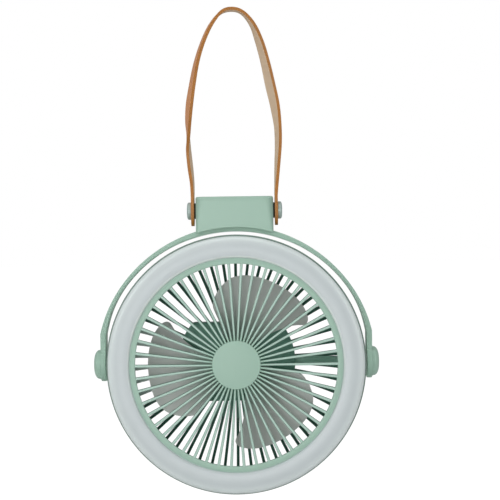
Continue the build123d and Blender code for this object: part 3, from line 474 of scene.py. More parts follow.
def moulded(name, color, roughness, cloud=0.03, grain=0.04, metallic=0.0):
    """A material of moulded plastic, or of cast, rolled or drawn metal when metallic."""
    material, tree, shader = new_material(name)
    place = add_node(tree, "TexCoord").outputs["Object"]
    inputs = {"Position": place, "Color": color, "Cloud": cloud, "Roughness": roughness}
    effect = add_node(tree, "Group", inputs, node_tree=moulded_grain, name="grain").outputs
    bump = add_node(tree, "Bump", {"Height": effect["Height"], "Strength": grain, "Distance": 0.1 * MM})
    fill(shader, {
        "Metallic": metallic,
        "Base Color": effect["Color"],
        "Roughness": effect["Roughness"],
        "Normal": bump.outputs["Normal"],
    })
    return material


def color_with(material, color):
    """Puts a colour that changes over the piece into a moulded material."""
    fill(material.node_tree.nodes["grain"], {"Color": color})


def dress(piece, *materials):
    """Gives a piece its materials."""
    piece.data.materials.clear()
    for material in materials:
        piece.data.materials.append(material)


def dress_solids(material, *nodes):
    """Gives a material to solids that stay as they are."""
    for node in nodes:
        dress(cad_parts[node], material)


def fit(piece, node, body):
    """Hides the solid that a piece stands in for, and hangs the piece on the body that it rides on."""
    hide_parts(node)
    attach(piece, body)


# the shell is mint; painted shade darkens its inside and the sides of its ribs and pod, with a greener
# painted tone on the duct's inner faces
mint = (0.335, 0.503, 0.410)
painted_shade_rib_green = (0.050, 0.150, 0.105)
painted_highlight_rib_green = (0.86, 0.98, 0.93)
painted_shade_pod_green = (0.11, 0.29, 0.21)
painted_duct_tone_green = (0.31, 0.55, 0.44)
painted_seam_shadow_green = (0.16, 0.235, 0.20)
rear_plastic = moulded("rear_shell_plastic", mint, 0.45)
tree = rear_plastic.node_tree
x, y, z = object_place(tree)
beside = calc(tree, "ABSOLUTE", calc(tree, "SUBTRACT", z, axis_z))
radius = fan_radius(tree)
facing = object_place(tree, "Normal")[1]
within_duct_width = calc(tree, "LESS_THAN", beside, duct_width / 2 + 0.1 * MM)
in_duct = both(tree, within_duct_width, calc(tree, "GREATER_THAN", x, 0.0))
in_pod = calc(tree, "LESS_THAN", radius, pod_r + 0.1 * MM)
# painted highlight: the ribs at the viewer's left have pale fronts
at_left = both(tree, eased(tree, x, -48 * MM, -66 * MM), eased(tree, beside, 34 * MM, 18 * MM))
painted_highlight_front = both(tree, at_left, eased(tree, facing, -0.3, -0.8))
painted_rib_tone = tinted(tree, painted_highlight_front, painted_shade_rib_green, painted_highlight_rib_green)
deep = tinted(tree, in_pod, tinted(tree, in_duct, painted_rib_tone, painted_duct_tone_green), painted_shade_pod_green)
# painted shade: faces inside the opening that look forward or sideways take the dark painted tones
inward = both(tree, eased(tree, facing, 0.55, 0.2), calc(tree, "LESS_THAN", radius, opening_r + 0.2 * MM))
# painted shadow: the front of the shell's lip, behind the light ring, takes a dark band
lip = both(tree, eased(tree, y, shell_seat + 1.6 * MM, shell_seat + 0.8 * MM),
           calc(tree, "GREATER_THAN", radius, shell_inner_r))
color_with(rear_plastic, tinted(tree, lip, tinted(tree, inward, mint, deep), painted_seam_shadow_green))
dress(rear_shell, rear_plastic)
fit(rear_shell, "rear_shell", "head")


# ---------------------------------------------------------------- motor
# A brushless motor: copper windings on a laminated core, around a bearing tube that is screwed to
# the pod, with a steel shaft in two ball bearings and a ring of magnets inside the fan's hub.
def banded(name, colors, pitch, roughness):
    """Metal in fine parallel bands across Y, as on windings and stacked sheets."""
    material = moulded(name, colors[0], roughness, grain=0.4, metallic=1.0)
    tree = material.node_tree
    place = add_node(tree, "TexCoord").outputs["Object"]
    inputs = {"Vector": place, "Scale": 0.5 / pitch, "Distortion": 0.6}
    wave = add_node(tree, "TexWave", inputs, bands_direction="Y").outputs["Fac"]
    color_with(material, tinted(tree, wave, colors[0], colors[1]))
    fill(tree.nodes["Bump"], {"Height": wave})
    return material


steel = moulded("bright_steel", (0.60, 0.60, 0.60), 0.28, cloud=0.12, metallic=1.0, grain=0.06)
ground_steel = moulded("ground_shaft_steel", (0.68, 0.68, 0.69), 0.16, cloud=0.06, metallic=1.0, grain=0.03)
brass = moulded("turned_brass", (0.68, 0.49, 0.20), 0.3, cloud=0.08, metallic=1.0)
ferrite = moulded("dark_ferrite", (0.045, 0.045, 0.05), 0.6, cloud=0.25, grain=0.15)
laminated = banded("laminated_steel", ((0.24, 0.25, 0.27), (0.42, 0.43, 0.44)), 0.5 * MM, 0.4)
copper = banded("copper_windings", ((0.62, 0.23, 0.09), (0.34, 0.10, 0.035)), 0.4 * MM, 0.3)
dress_solids(steel, "flux_ring", "shaft_clip", "front_bearing", "rear_bearing", "motor_screws")
dress_solids(ground_steel, "fan_shaft")
dress_solids(brass, "motor_mount")
dress_solids(ferrite, "magnet_ring")
dress_solids(laminated, "stator_core")
dress_solids(copper, "stator_coils")


def circuit_board(name, mask, trace, pitch):
    """A circuit board: solder mask with paler tracks under it."""
    material = moulded(name, mask, 0.35, cloud=0.1)
    tree = material.node_tree
    inputs = {"Vector": add_node(tree, "TexCoord").outputs["Object"], "Scale": 1 / pitch}
    tracks = add_node(tree, "TexVoronoi", inputs, feature="F1", distance="CHEBYCHEV")
    edge = calc(tree, "GREATER_THAN", tracks.outputs["Distance"], 0.5)
    color_with(material, tinted(tree, edge, mask, trace))
    return material


green_board = circuit_board("green_circuit_board", (0.012, 0.13, 0.055), (0.03, 0.22, 0.10), 3 * MM)
dress_solids(green_board, "motor_board")


# ---------------------------------------------------------------- fan rotor
# A hub cup with three broad blades, moulded in one piece of grey-green plastic. Each blade is a
# twisted sheet with rounded edges, a rounded front edge and a hooked rear edge.
hub_r = 16.5 * MM
hub_front = ring_front + 10.5 * MM
hub_back = ring_front + 26.5 * MM
hub_wall = 1.4 * MM
blade_thickness = 1.8 * MM
blade_front = ring_front + 12 * MM
blade_edge = 0.6 * MM
blade_rise = 14 * MM
blade_front_angle, blade_rear_angle = -23.0, 62.0
# radius in mm and degrees clockwise from the top, from the hub out to the tip
front_edge = [(15.1, -28), (31, -21.5), (45.7, -21.5), (53.4, -16), (60, -8.5), (63.6, -3), (65.3, 2),
              (66.1, 7), (66.3, 12)]
rear_edge = [(15.1, 40), (32, 49), (44.4, 54.5), (51.7, 58), (58.3, 61.5), (62.2, 60), (64.4, 55.5),
             (65.9, 48), (66.3, 40)]


def through(points, position):
    """A smooth curve through the points, at a position counted in points."""
    k = min(max(int(position), 0), len(points) - 2)
    t = position - k
    near = [points[min(max(k + j, 0), len(points) - 1)] for j in (-1, 0, 1, 2)]
    return [0.5 * (2 * b + (c - a) * t + (2 * a - 5 * b + 4 * c - d) * t**2 + (3 * b - a - 3 * c + d) * t**3)
            for a, b, c, d in zip(*near)]


rows, columns = 40, 28
add_grid = bpy.ops.mesh.primitive_grid_add
blades = new_piece("fan_blades", add_grid, x_subdivisions=columns, y_subdivisions=rows, size=1)
for vertex in blades.data.vertices:
    across, out = vertex.co.x + 0.5, (vertex.co.y + 0.5) * (len(front_edge) - 1)
    (first_r, first), (last_r, last) = through(front_edge, out), through(rear_edge, out)
    distance = (first_r + across * (last_r - first_r)) * MM
    angle = first + across * (last - first)
    depth = blade_rise * (angle - blade_front_angle) / (blade_rear_angle - blade_front_angle)
    vertex.co = (distance * sin(radians(angle)), blade_front + blade_thickness / 2 + depth,
                 distance * cos(radians(angle)))
apply(blades, "SOLIDIFY", thickness=blade_thickness, offset=0, use_even_offset=True)
apply(blades, "BEVEL", width=blade_edge, segments=3, limit_method="ANGLE", angle_limit=radians(50))
around_axis(blades, 3)
hub = turned("fan_hub", [
    (0, hub_front), (hub_r, hub_front), (hub_r, hub_back), (hub_r - hub_wall, hub_back),
    (hub_r - hub_wall, hub_front + hub_wall), (0, hub_front + hub_wall),
], steps=96, closed=False)
soften(hub, 0.6 * MM)
rotor = join(blades, hub)
rotor.name = rotor.data.name = "moulded_fan_rotor"
smooth(rotor, 45)
move_mesh(rotor, z=axis_z)
blade_grey, painted_shade_root_green = (0.61, 0.64, 0.61), (0.38, 0.49, 0.42)
blade_plastic = moulded("grey_green_blade_plastic", blade_grey, 0.5)
tree = blade_plastic.node_tree
# painted shade: the blades grow darker and greener towards the hub
towards_tip = eased(tree, fan_radius(tree), 22 * MM, 46 * MM)
color_with(blade_plastic, tinted(tree, towards_tip, painted_shade_root_green, blade_grey))
dress(rotor, blade_plastic)
fit(rotor, "fan_rotor", "rotor")


# ---------------------------------------------------------------- light tray and lights
# A white tray, in one piece with the shroud around the blades, carries a ring-shaped board with 36
# warm white lights, held by six screws.
white_plastic = moulded("white_plastic", (0.78, 0.79, 0.77), 0.45)
white_board = circuit_board("white_light_board", (0.72, 0.72, 0.69), (0.80, 0.80, 0.77), 6 * MM)
phosphor = moulded("yellow_phosphor", (0.80, 0.66, 0.20), 0.35, cloud=0.08)
dress_solids(white_plastic, "light_tray")
dress_solids(white_board, "light_board")
dress_solids(phosphor, "lights")
dress_solids(steel, "tray_screws")


# ---------------------------------------------------------------- light ring
# The diffuser is a milky translucent channel that clips around the grille's rim and covers the
# lights. Its front is slightly crowned and its outer edge is rounded over to the rear shell.
ring_r = (ring_high.x - ring_low.x) / 2
ring_inner_r = 79.05 * MM
ring_wall = 1.8 * MM
ring_plug = shell_seat + 3 * MM
plug_r = 93.7 * MM
crown = 0.35 * MM
inner_round, outer_round = 2.2 * MM, 4.5 * MM
diffuser_profile = [(ring_inner_r, ring_high.y), (ring_inner_r, ring_front + inner_round)]
for k in range(1, 6):
    turn = radians(90 * k / 6)
    diffuser_profile.append((ring_inner_r + inner_round * (1 - cos(turn)),
                             ring_front + crown + (inner_round - crown) * (1 - sin(turn))))
crown_start, crown_end = ring_inner_r + inner_round, ring_r - outer_round
for k in range(9):
    share = k / 8
    diffuser_profile.append((crown_start + share * (crown_end - crown_start),
                             ring_front + crown * (2 * share - 1) ** 2))
for k in range(1, 9):
    turn = radians(90 * k / 8)
    diffuser_profile.append((ring_r - outer_round * (1 - sin(turn)),
                             ring_front + crown + (outer_round - crown) * (1 - cos(turn))))
diffuser_profile += [
    (ring_r, shell_seat), (plug_r, shell_seat), (plug_r, ring_plug), (plug_r - ring_wall, ring_plug),
    (plug_r - ring_wall, ring_front + 4.5 * MM), (ring_r - 5.0 * MM, ring_front + ring_wall),
    (ring_inner_r + ring_wall + 1 * MM, ring_front + ring_wall),
    (ring_inner_r + ring_wall, ring_front + 3.2 * MM), (ring_inner_r + ring_wall, ring_high.y),
]
diffuser = turned("milky_light_diffuser", diffuser_profile, steps=180)
soften(diffuser, 0.25 * MM, segments=2, angle=50, smooth_angle=45)
move_mesh(diffuser, z=axis_z)
milky, milky_painted_light_outer, milky_painted_light_inner = (0.545, 0.60, 0.61), (0.68, 0.745, 0.74), (0.78, 0.84, 0.82)
milky_plastic = moulded("milky_diffuser_plastic", milky, 0.32, cloud=0.02, grain=0.015)
tree = milky_plastic.node_tree
radius, height = fan_radius(tree), object_place(tree)[2]
# painted light: the outer edge is paler, and the inner edge is paler the higher it lies
painted_light_inner_edge = both(tree, eased(tree, radius, ring_inner_r + 1.9 * MM, ring_inner_r + 0.5 * MM),
                     eased(tree, height, axis_z - 60 * MM, axis_z + 60 * MM))
milky_front = tinted(tree, eased(tree, radius, ring_r - 7 * MM, ring_r - 0.5 * MM), milky, milky_painted_light_outer)
color_with(milky_plastic, tinted(tree, painted_light_inner_edge, milky_front, milky_painted_light_inner))
fill(tree.nodes["Principled BSDF"], {
    "Subsurface Weight": 0.25,
    "Subsurface Radius": (3 * MM, 3 * MM, 3 * MM),
    "Subsurface Scale": 1.0,
})
dress(diffuser, milky_plastic)
fit(diffuser, "diffuser_ring", "head")


# ---------------------------------------------------------------- front grille
# A moulded disc of mint green plastic: fifty straight ribs with rounded fronts run from a plain
# round cap to a broad rim, and a skirt behind the rim stands on the light tray.
rim_outer_r = 79.0 * MM
rim_inner_r = 74.5 * MM
rim_front = ring_front + 2.4 * MM
rim_back = rim_front + 2.4 * MM
rim_round = 0.6 * MM
skirt_inner_r = 77.6 * MM
skirt_outer_r = 78.9 * MM
skirt_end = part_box("front_grille")[1].y
front_rib_width, front_rib_end_width = 1.5 * MM, 2.1 * MM
front_rib_front = rim_front + 0.3 * MM
front_rib_back = front_rib_front + 3.6 * MM
front_rib_round = 0.6 * MM
cap_r = 18 * MM
cap_front = front_rib_front - 0.4 * MM
rim_profile = [(rim_inner_r, rim_back), (rim_inner_r, rim_front + rim_round)]
rim_profile += arc(rim_round, pi, 1.5 * pi, 4, (rim_inner_r + rim_round, rim_front + rim_round))[1:]
rim_profile += [
    (rim_outer_r, rim_front), (rim_outer_r, rim_back), (skirt_outer_r, rim_back), (skirt_outer_r, skirt_end),
    (skirt_inner_r, skirt_end), (skirt_inner_r, rim_back),
]
grille = turned("moulded_front_grille", rim_profile, steps=160)
soften(grille, 0.12 * MM, segments=2, angle=50)
cap = turned("grille_cap", [
    (0, cap_front), (cap_r, cap_front), (cap_r, front_rib_back), (0, front_rib_back),
], steps=96, closed=False)
soften(cap, 0.7 * MM, segments=4)
rib_side = [(front_rib_width / 2, cap_r - 1 * MM), (front_rib_end_width / 2, rim_inner_r + 1 * MM)]
rib_outline = rib_side + [(-x, z) for x, z in reversed(rib_side)]
front_rib = plate("grille_rib", rib_outline, front_rib_front, front_rib_back)


def is_long_front_edge(a, b):
    """Whether an edge runs along the rib, on its front."""
    return max(a.y, b.y) < front_rib_front + 0.01 * MM and abs(a.z - b.z) > 1 * MM


bevel_edges(front_rib, front_rib_round, 4, is_long_front_edge)
smooth(front_rib)
turn_mesh(front_rib, 180 / rib_count)
around_axis(front_rib, rib_count)
join(grille, cap, front_rib)
move_mesh(grille, z=axis_z)
painted_light_rim_edge_green, painted_light_rib_front_green = (0.41, 0.55, 0.49), (0.415, 0.58, 0.503)
painted_shade_rib_side_green = (0.10, 0.215, 0.155)
grille_plastic = moulded("mint_green_grille_plastic", mint, 0.42)
tree = grille_plastic.node_tree
radius, facing = fan_radius(tree), object_place(tree, "Normal")[1]
# painted shade: the ribs' sides take a dark green
on_side = both(tree, eased(tree, facing, -0.9, -0.3), calc(tree, "LESS_THAN", radius, rim_inner_r))
# painted light: the ribs' fronts, away from the cap, and the rim's outer edge are paler
on_rib = both(tree, eased(tree, radius, cap_r + 1 * MM, cap_r + 9 * MM),
              calc(tree, "LESS_THAN", radius, rim_inner_r + 0.1 * MM))
rim_edge = eased(tree, radius, rim_outer_r - 1.1 * MM, rim_outer_r - 0.2 * MM)
painted_light_front_tone = tinted(tree, on_rib, tinted(tree, rim_edge, mint, painted_light_rim_edge_green), painted_light_rib_front_green)
color_with(grille_plastic, tinted(tree, on_side, painted_light_front_tone, painted_shade_rib_side_green))
dress(grille, grille_plastic)
fit(grille, "front_grille", "head")


# ---------------------------------------------------------------- cells, boards and wires
# Two lithium cells lie across the pod, joined by welded nickel strips, with a control board on four
# posts between them, and wires from the cells, the motor and the lights.
def parted(name, axis, first, second, low, high, roughness=0.4):
    """Two colours on one piece, parted where the place along an axis (0, 1, 2) leaves low to high."""
    material = moulded(name, first, roughness, cloud=0.08)
    tree = material.node_tree
    along = object_place(tree)[axis]
    outside = calc(tree, "ADD", calc(tree, "LESS_THAN", along, low), calc(tree, "GREATER_THAN", along, high))
    color_with(material, tinted(tree, outside, first, second))
    return material


cell_low, cell_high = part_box("battery_cells")
sleeve_blue, can_grey, bare_end = (0.10, 0.28, 0.52), (0.55, 0.55, 0.54), 1.5 * MM
sleeve_start, sleeve_end = cell_low.x + bare_end, cell_high.x - bare_end
cell_sleeve = parted("cell_sleeve", 0, sleeve_blue, can_grey, sleeve_start, sleeve_end, 0.3)
black_plastic = moulded("black_plastic", (0.025, 0.027, 0.027), 0.5, cloud=0.15)
light_guides = moulded("clear_light_guides", (0.55, 0.72, 0.60), 0.2, cloud=0.02)
dress_solids(cell_sleeve, "battery_cells")
dress_solids(steel, "battery_contacts")
dress_solids(green_board, "control_board")
dress_solids(black_plastic, "push_switches", "fan_plunger", "light_plunger")
dress_solids(light_guides, "charge_lights")
# the wires on one side of this place have red jackets, and those on the other have black ones
past_the_fan = 1.0
red_jacket, black_jacket = (0.42, 0.02, 0.015), (0.02, 0.02, 0.02)
for node, axis, place in (
    ("led_wires", 2, axis_z),
    ("battery_wires", 2, axis_z),
    ("motor_wires", 0, -0.6 * MM),
):
    dress_solids(parted(node + "_jacket", axis, red_jacket, black_jacket, place, past_the_fan), node)


# ---------------------------------------------------------------- pod cover
# A shallow lid on the back of the pod, with a rounded edge and a lip that fits inside the pod. Four
# screws in recesses hold it, and it has openings for two keys, the charging socket and four lights.
lip_gap, lip_wall, lip_depth = 2 * MM, 1.2 * MM, 3 * MM
screw_recess_r, cover_recess_depth = 2.7 * MM, 1 * MM
key_hole_r = 4.75 * MM
key_places = {key: (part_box(key)[0].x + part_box(key)[1].x) / 2 for key in ("fan_button", "light_button")}
charge_light_r, charge_light_x, charge_light_step = 0.85 * MM, -9 * MM, 3 * MM
port_low, port_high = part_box("usb_port")
port_x = (port_low.x + port_high.x) / 2
port_width, port_height, port_gap = 8.9 * MM, 3.2 * MM, 0.5 * MM
cover = plate("moulded_pod_cover", pod_outline(), cover_seat, cover_back)
bevel_edges(cover, pod_edge, 5, lambda a, b: min(a.y, b.y) > cover_back - 0.01 * MM)
cover_lip = plate("cover_lip", pod_outline(lip_gap), cover_seat - lip_depth, cover_seat + 0.5 * MM)
through_lip = cover_seat - lip_depth - 1 * MM, cover_seat + 1 * MM
boolean(cover_lip, "DIFFERENCE", plate("lip_room", pod_outline(lip_gap + lip_wall), *through_lip))


def slot_outline(width, height):
    """A slot with round ends, seen from the front."""
    half = (width - height) / 2
    return arc(height / 2, -pi / 2, pi / 2, 10, (half, 0)) + arc(height / 2, pi / 2, 1.5 * pi, 10, (-half, 0))


through_cover = cover_seat - 1 * MM, cover_back + 1 * MM
for x, z in cover_screw_places:
    place = (x, 0, z)
    drill(cover_lip, cover_boss_r + 0.3 * MM, *through_lip, steps=32, place=place)
    drill(cover, screw_bore, *through_cover, steps=32, place=place)
    drill(cover, screw_recess_r, cover_back - cover_recess_depth, cover_back + 1 * MM, steps=48, place=place)
for x in key_places.values():
    drill(cover, key_hole_r, *through_cover, steps=64, place=(x, 0, 0))
for k in range(4):
    drill(cover, charge_light_r, *through_cover, place=(charge_light_x + (k - 1.5) * charge_light_step, 0, 0))
port_hole = plate("port_hole", slot_outline(port_width + port_gap, port_height + port_gap), *through_cover)
move_mesh(port_hole, x=port_x)
boolean(cover, "DIFFERENCE", port_hole)
soften(cover, 0.15 * MM, segments=2, angle=60)
join(cover, cover_lip)
move_mesh(cover, z=axis_z)
smooth(cover)
apply(cover, "WEIGHTED_NORMAL", keep_sharp=True)
mint_plastic = moulded("mint_green_plastic", mint, 0.34)
dress(cover, mint_plastic)
fit(cover, "pod_cover", "head")


# ---------------------------------------------------------------- keys and charging socket
# Two round press keys with dished tops, each held by a flange behind the cover, and a charging
# socket: a folded steel shell with round ends around a black tongue.
key_stem_r, key_flange_r, key_r, key_round = 1.3 * MM, 5.5 * MM, 4.6 * MM, 0.8 * MM
flange_back = cover_seat - 0.1 * MM
flange_front = flange_back - 0.9 * MM
# radius and depth of the dish in a key's top, in mm
key_dish = [(3.2, 0.06), (2.2, 0.2), (1.1, 0.28), (0, 0.3)]
for key, body in (("fan_button", "fan_key"), ("light_button", "light_key")):
    stem_end, key_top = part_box(key)[0].y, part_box(key)[1].y
    key_profile = [
        (0, stem_end), (key_stem_r, stem_end), (key_stem_r, flange_front), (key_flange_r, flange_front),
        (key_flange_r, flange_back), (key_r, flange_back), (key_r, key_top - key_round),
    ]
    key_profile += arc(key_round, 0, pi / 2, 5, (key_r - key_round, key_top - key_round))[1:]
    key_profile += [(radius * MM, key_top - depth * MM) for radius, depth in key_dish]
    button = turned("moulded_" + key, key_profile, steps=64, closed=False)
    soften(button, 0.12 * MM, segments=2, angle=50, smooth_angle=50)
    move_mesh(button, x=key_places[key], z=axis_z)
    dress(button, mint_plastic)
    fit(button, key, body)
port_wall, port_depth = 0.35 * MM, 6.5 * MM
tongue_half_width, tongue_half_height, tongue_set_back = 3.25 * MM, 0.4 * MM, 0.9 * MM
socket = plate("charging_socket", slot_outline(port_width, port_height), port_low.y, port_high.y)
room_outline = slot_outline(port_width - 2 * port_wall, port_height - 2 * port_wall)
socket_room = plate("socket_room", room_outline, port_high.y - port_depth, port_high.y + 1 * MM)
boolean(socket, "DIFFERENCE", socket_room)
soften(socket, 0.1 * MM, segments=2, angle=50)
dress(socket, steel)
tongue = box_piece(
    "socket_tongue",
    (-tongue_half_width, port_high.y - port_depth - 0.1 * MM, -tongue_half_height),
    (tongue_half_width, port_high.y - tongue_set_back, tongue_half_height),
)
soften(tongue, 0.15 * MM, segments=2)
dress(tongue, black_plastic)
join(socket, tongue)
move_mesh(socket, x=port_x, z=axis_z)
fit(socket, "usb_port", "head")


# ---------------------------------------------------------------- cover and lid screws
# Pan-head steel screws with a cross slot: four in the pod's cover and two in the block's lid.
screw_r, screw_head_r, screw_length = 1.4 * MM, 2.6 * MM, 8 * MM
slot_reach, slot_half_width, slot_depth = 1.4 * MM, 0.3 * MM, 0.5 * MM
lid_low, lid_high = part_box("block_lid")
lid_screw_x, lid_recess_depth = 17 * MM, 1.4 * MM


def cross_screw(name, head):
    """A screw along Y, its head's underside at the origin and its slot facing +Y."""
    screw_profile = [
        (0, -screw_length), (0.5 * MM, -screw_length), (screw_r, screw_r - screw_length), (screw_r, 0),
        (screw_head_r, 0), (screw_head_r, head - 0.5 * MM), (2.3 * MM, head - 0.2 * MM), (1.6 * MM, head),
        (0, head),
    ]
    screw = turned(name, screw_profile, steps=40, closed=False)
    for x, z in ((slot_reach, slot_half_width), (slot_half_width, slot_reach)):
        slot = box_piece("cross_slot", (-x, head - slot_depth, -z), (x, head + 1 * MM, z))
        boolean(screw, "DIFFERENCE", slot)
    smooth(screw, 30)
    return screw


cover_screw = cross_screw("cover_screw_1", 1 * MM)
for k, (x, z) in enumerate(cover_screw_places):
    screw = cover_screw if k == 3 else copied(cover_screw, f"cover_screw_{k + 2}")
    turn_mesh(screw, 20 + 50 * k)
    move_mesh(screw, x=x, y=cover_back - cover_recess_depth, z=axis_z + z)
    dress(screw, steel)
    fit(screw, "cover_screws", "head")
lid_screw = cross_screw("lid_screw_1", 1.2 * MM)
for k, side in enumerate((-1, 1)):
    screw = lid_screw if k else copied(lid_screw, "lid_screw_2")
    turn_mesh(screw, 35 + 40 * k)
    turn_mesh(screw, 90, "X")
    move_mesh(screw, x=side * lid_screw_x, z=lid_high.z - lid_recess_depth)
    dress(screw, steel)
    fit(screw, "lid_screws", "bracket")


# ---------------------------------------------------------------- bracket
# A thin moulded arch, 4 mm thick, that stands around the head and ends in two round ears on the
# tilt pivots.
bracket_low, bracket_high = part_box("bracket")
bracket_wall, bracket_half_depth, bracket_round = 4 * MM, 8.75 * MM, 0.7 * MM
arch_outer_r = bracket_high.z - axis_z
arch_inner_r = arch_outer_r - bracket_wall
leg_outer = (bracket_high.x - bracket_low.x) / 2
leg_inner = leg_outer - bracket_wall
ear_r = 12.6 * MM
outer_turn = asin(sqrt(arch_outer_r**2 - leg_outer**2) / arch_outer_r)
inner_turn = asin(sqrt(arch_inner_r**2 - leg_inner**2) / arch_inner_r)
# how far the arch's outer and inner edges leave their circles, in mm, at even steps from the top to a leg
arch_edges = [(-1.2, -1.45), (-1.2, -1.35), (-1.2, -1.1), (-1.2, -0.55), (-1.05, -0.05), (-0.75, 0.4),
              (-0.4, 0.9), (-0.1, 0.8), (0, 0)]
outer_edge, inner_edge = [], []
arch_steps = 48
for k in range(-arch_steps, arch_steps + 1):
    outer_shift, inner_shift = through(arch_edges, abs(k) / arch_steps * (len(arch_edges) - 1))
    for edge, radius, leg_turn in (
        (outer_edge, arch_outer_r + outer_shift * MM, outer_turn),
        (inner_edge, arch_inner_r + inner_shift * MM, inner_turn),
    ):
        turn = k / arch_steps * (pi / 2 - leg_turn)
        edge.append((radius * sin(turn), radius * cos(turn)))
# each leg ends inside its ear, a hair thinner than the ear
leg_end, leg_slack = 4 * MM, 0.04 * MM
right_leg = [(leg_outer - leg_slack, leg_end), (leg_inner + leg_slack, leg_end)]
left_leg = [(-x, z) for x, z in right_leg]
bracket_outline = left_leg[:1] + outer_edge + right_leg + inner_edge[::-1] + left_leg[1:]
bracket = plate("moulded_bracket", bracket_outline, -bracket_half_depth, bracket_half_depth)
soften(bracket, bracket_round)
for low, high in ((leg_inner, leg_outer), (-leg_outer, -leg_inner)):
    ear = drum("ear", ear_r, low, high, steps=96)
    soften(ear, bracket_round)
    join(bracket, ear)
smooth(bracket)
apply(bracket, "WEIGHTED_NORMAL", keep_sharp=True)
move_mesh(bracket, z=axis_z)
# painted light: the faces that look at the head are paler
painted_light_arch_green = (0.80, 0.98, 0.88)
bracket_plastic = moulded("mint_green_bracket_plastic", mint, 0.42)
tree = bracket_plastic.node_tree
x, _, z = object_place(tree)
face_x, _, face_z = object_place(tree, "Normal")
upward = calc(tree, "MULTIPLY", calc(tree, "SUBTRACT", z, axis_z), face_z)
outward = calc(tree, "MULTIPLY_ADD", x, face_x, upward)
color_with(bracket_plastic, tinted(tree, eased(tree, outward, -40 * MM, -80 * MM), mint, painted_light_arch_green))
dress(bracket, bracket_plastic)
fit(bracket, "bracket", "bracket")


# ---------------------------------------------------------------- tilt pivots
# On each side a steel shoulder screw turns in a brass insert in the head, with a white plastic
# washer between head and ear. A domed cap with a thin flange clips onto the ear over the screw.
dress_solids(brass, "pivot_inserts")
dress_solids(steel, "pivot_screws")
dress_solids(white_plastic, "pivot_washers")
knob_low, knob_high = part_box("pivot_knobs")
knob_end = (knob_high.x - knob_low.x) / 2
knob_r = 10.85 * MM
knob_flange_r = (knob_high.z - knob_low.z) / 2
knob_flat_r = 4 * MM
flange_end = leg_outer + 0.9 * MM
dome_start, dome_end = flange_end + 0.6 * MM, knob_end - 0.1 * MM
knob_profile = [(0, leg_outer), (knob_flange_r, leg_outer), (knob_flange_r, flange_end), (knob_r, flange_end)]
for along_r, along_x in arc(1, 0, pi / 2, 12):
    radius = knob_flat_r + (knob_r - knob_flat_r) * along_r
    knob_profile.append((radius, dome_start + (dome_end - dome_start) * along_x))
knob_profile.append((0, knob_end))
knob = turned("right_pivot_knob", knob_profile, axis="X", steps=72, closed=False)
soften(knob, 0.2 * MM, segments=2, angle=60, smooth_angle=50)
left_knob = copied(knob, "left_pivot_knob")
turn_mesh(left_knob, 180, "Z")
for piece in (knob, left_knob):
    move_mesh(piece, z=axis_z)
    dress(piece, mint_plastic)
    fit(piece, "pivot_knobs", "bracket")


# ---------------------------------------------------------------- block
# The saddle on top of the arch, in two mouldings: a hollow shell with rounded corners, and a lid
# that two screws hold. It carries the strap, and is the foot when the bracket is turned under.
block_low, block_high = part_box("block_shell")
block_corner, lid_round = 6 * MM, 1.2 * MM
saddle_r = arch_inner_r + 1.5 * MM
saddle_turn = asin(block_high.x / saddle_r)


def is_upright_corner(a, b):
    """Whether an edge is one of the block's four upright corners."""
    at_side = all(abs(abs(v.x) - block_high.x) < 0.1 * MM for v in (a, b))
    at_front_or_back = all(abs(abs(v.y) - block_high.y) < 0.1 * MM for v in (a, b))
    return at_side and at_front_or_back and abs(a.z - b.z) > 0.5 * MM


block_outline = [(block_high.x, block_high.z - axis_z), (block_low.x, block_high.z - axis_z)]
block_outline += arc(saddle_r, pi / 2 + saddle_turn, pi / 2 - saddle_turn, 32)
block = plate("block_moulding", block_outline, block_low.y, block_high.y)
bevel_edges(block, block_corner, 8, is_upright_corner)
soften(block, 0.35 * MM, segments=2, angle=50)
move_mesh(block, z=axis_z)
lid = box_piece("block_lid_moulding", lid_low, lid_high)
bevel_edges(lid, block_corner, 8, is_upright_corner)
bevel_edges(lid, lid_round, 4, lambda a, b: min(a.z, b.z) > lid_high.z - 0.05 * MM)
for x in (-lid_screw_x, lid_screw_x):
    drill(lid, screw_recess_r, lid_high.z - lid_recess_depth, lid_high.z + 1 * MM, "Z", 48, (x, 0, 0))
soften(lid, 0.15 * MM, segments=2, angle=60)
for piece, node in ((block, "block_shell"), (lid, "block_lid")):
    apply(piece, "WEIGHTED_NORMAL", keep_sharp=True)
    dress(piece, mint_plastic)
    fit(piece, node, "bracket")
dress_solids(steel, "block_screws")


# ---------------------------------------------------------------- strap studs
# Round-headed metal studs, painted grey-green, pass through the strap's ends and a rubber washer
# into brass inserts in the block.
dress_solids(brass, "stud_inserts")
stud_low, stud_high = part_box("strap_studs")
stud_z = (stud_low.z + stud_high.z) / 2
stud_r = (stud_high.z - stud_low.z) / 2
stud_end = stud_high.x
head_start = stud_end - 3.2 * MM
shank_r, shank_start = 2 * MM, 22 * MM
stud_slot_half_length, stud_slot_half_width = 4 * MM, 0.5 * MM
stud_profile = [
    (0, head_start), (stud_r - 0.2 * MM, head_start), (stud_r, head_start + 0.2 * MM),
    (stud_r, stud_end - 1.3 * MM), (stud_r - 0.5 * MM, stud_end - 0.7 * MM),
    (stud_r - 1.6 * MM, stud_end - 0.25 * MM), (2.2 * MM, stud_end), (0, stud_end),
]
stud = turned("right_strap_stud", stud_profile, axis="X", steps=56, closed=False)
stud_slot = box_piece("stud_slot", (stud_end - 0.8 * MM, -stud_slot_half_length, -stud_slot_half_width),
                      (stud_end + 1 * MM, stud_slot_half_length, stud_slot_half_width))
boolean(stud, "DIFFERENCE", stud_slot)
soften(stud, 0.12 * MM, segments=2, angle=30, smooth_angle=50)
stud_shank = drum("stud_shank", shank_r, shank_start, head_start + 0.2 * MM, steps=32)
soften(stud_shank, 0.3 * MM, segments=2)
join(stud, stud_shank)
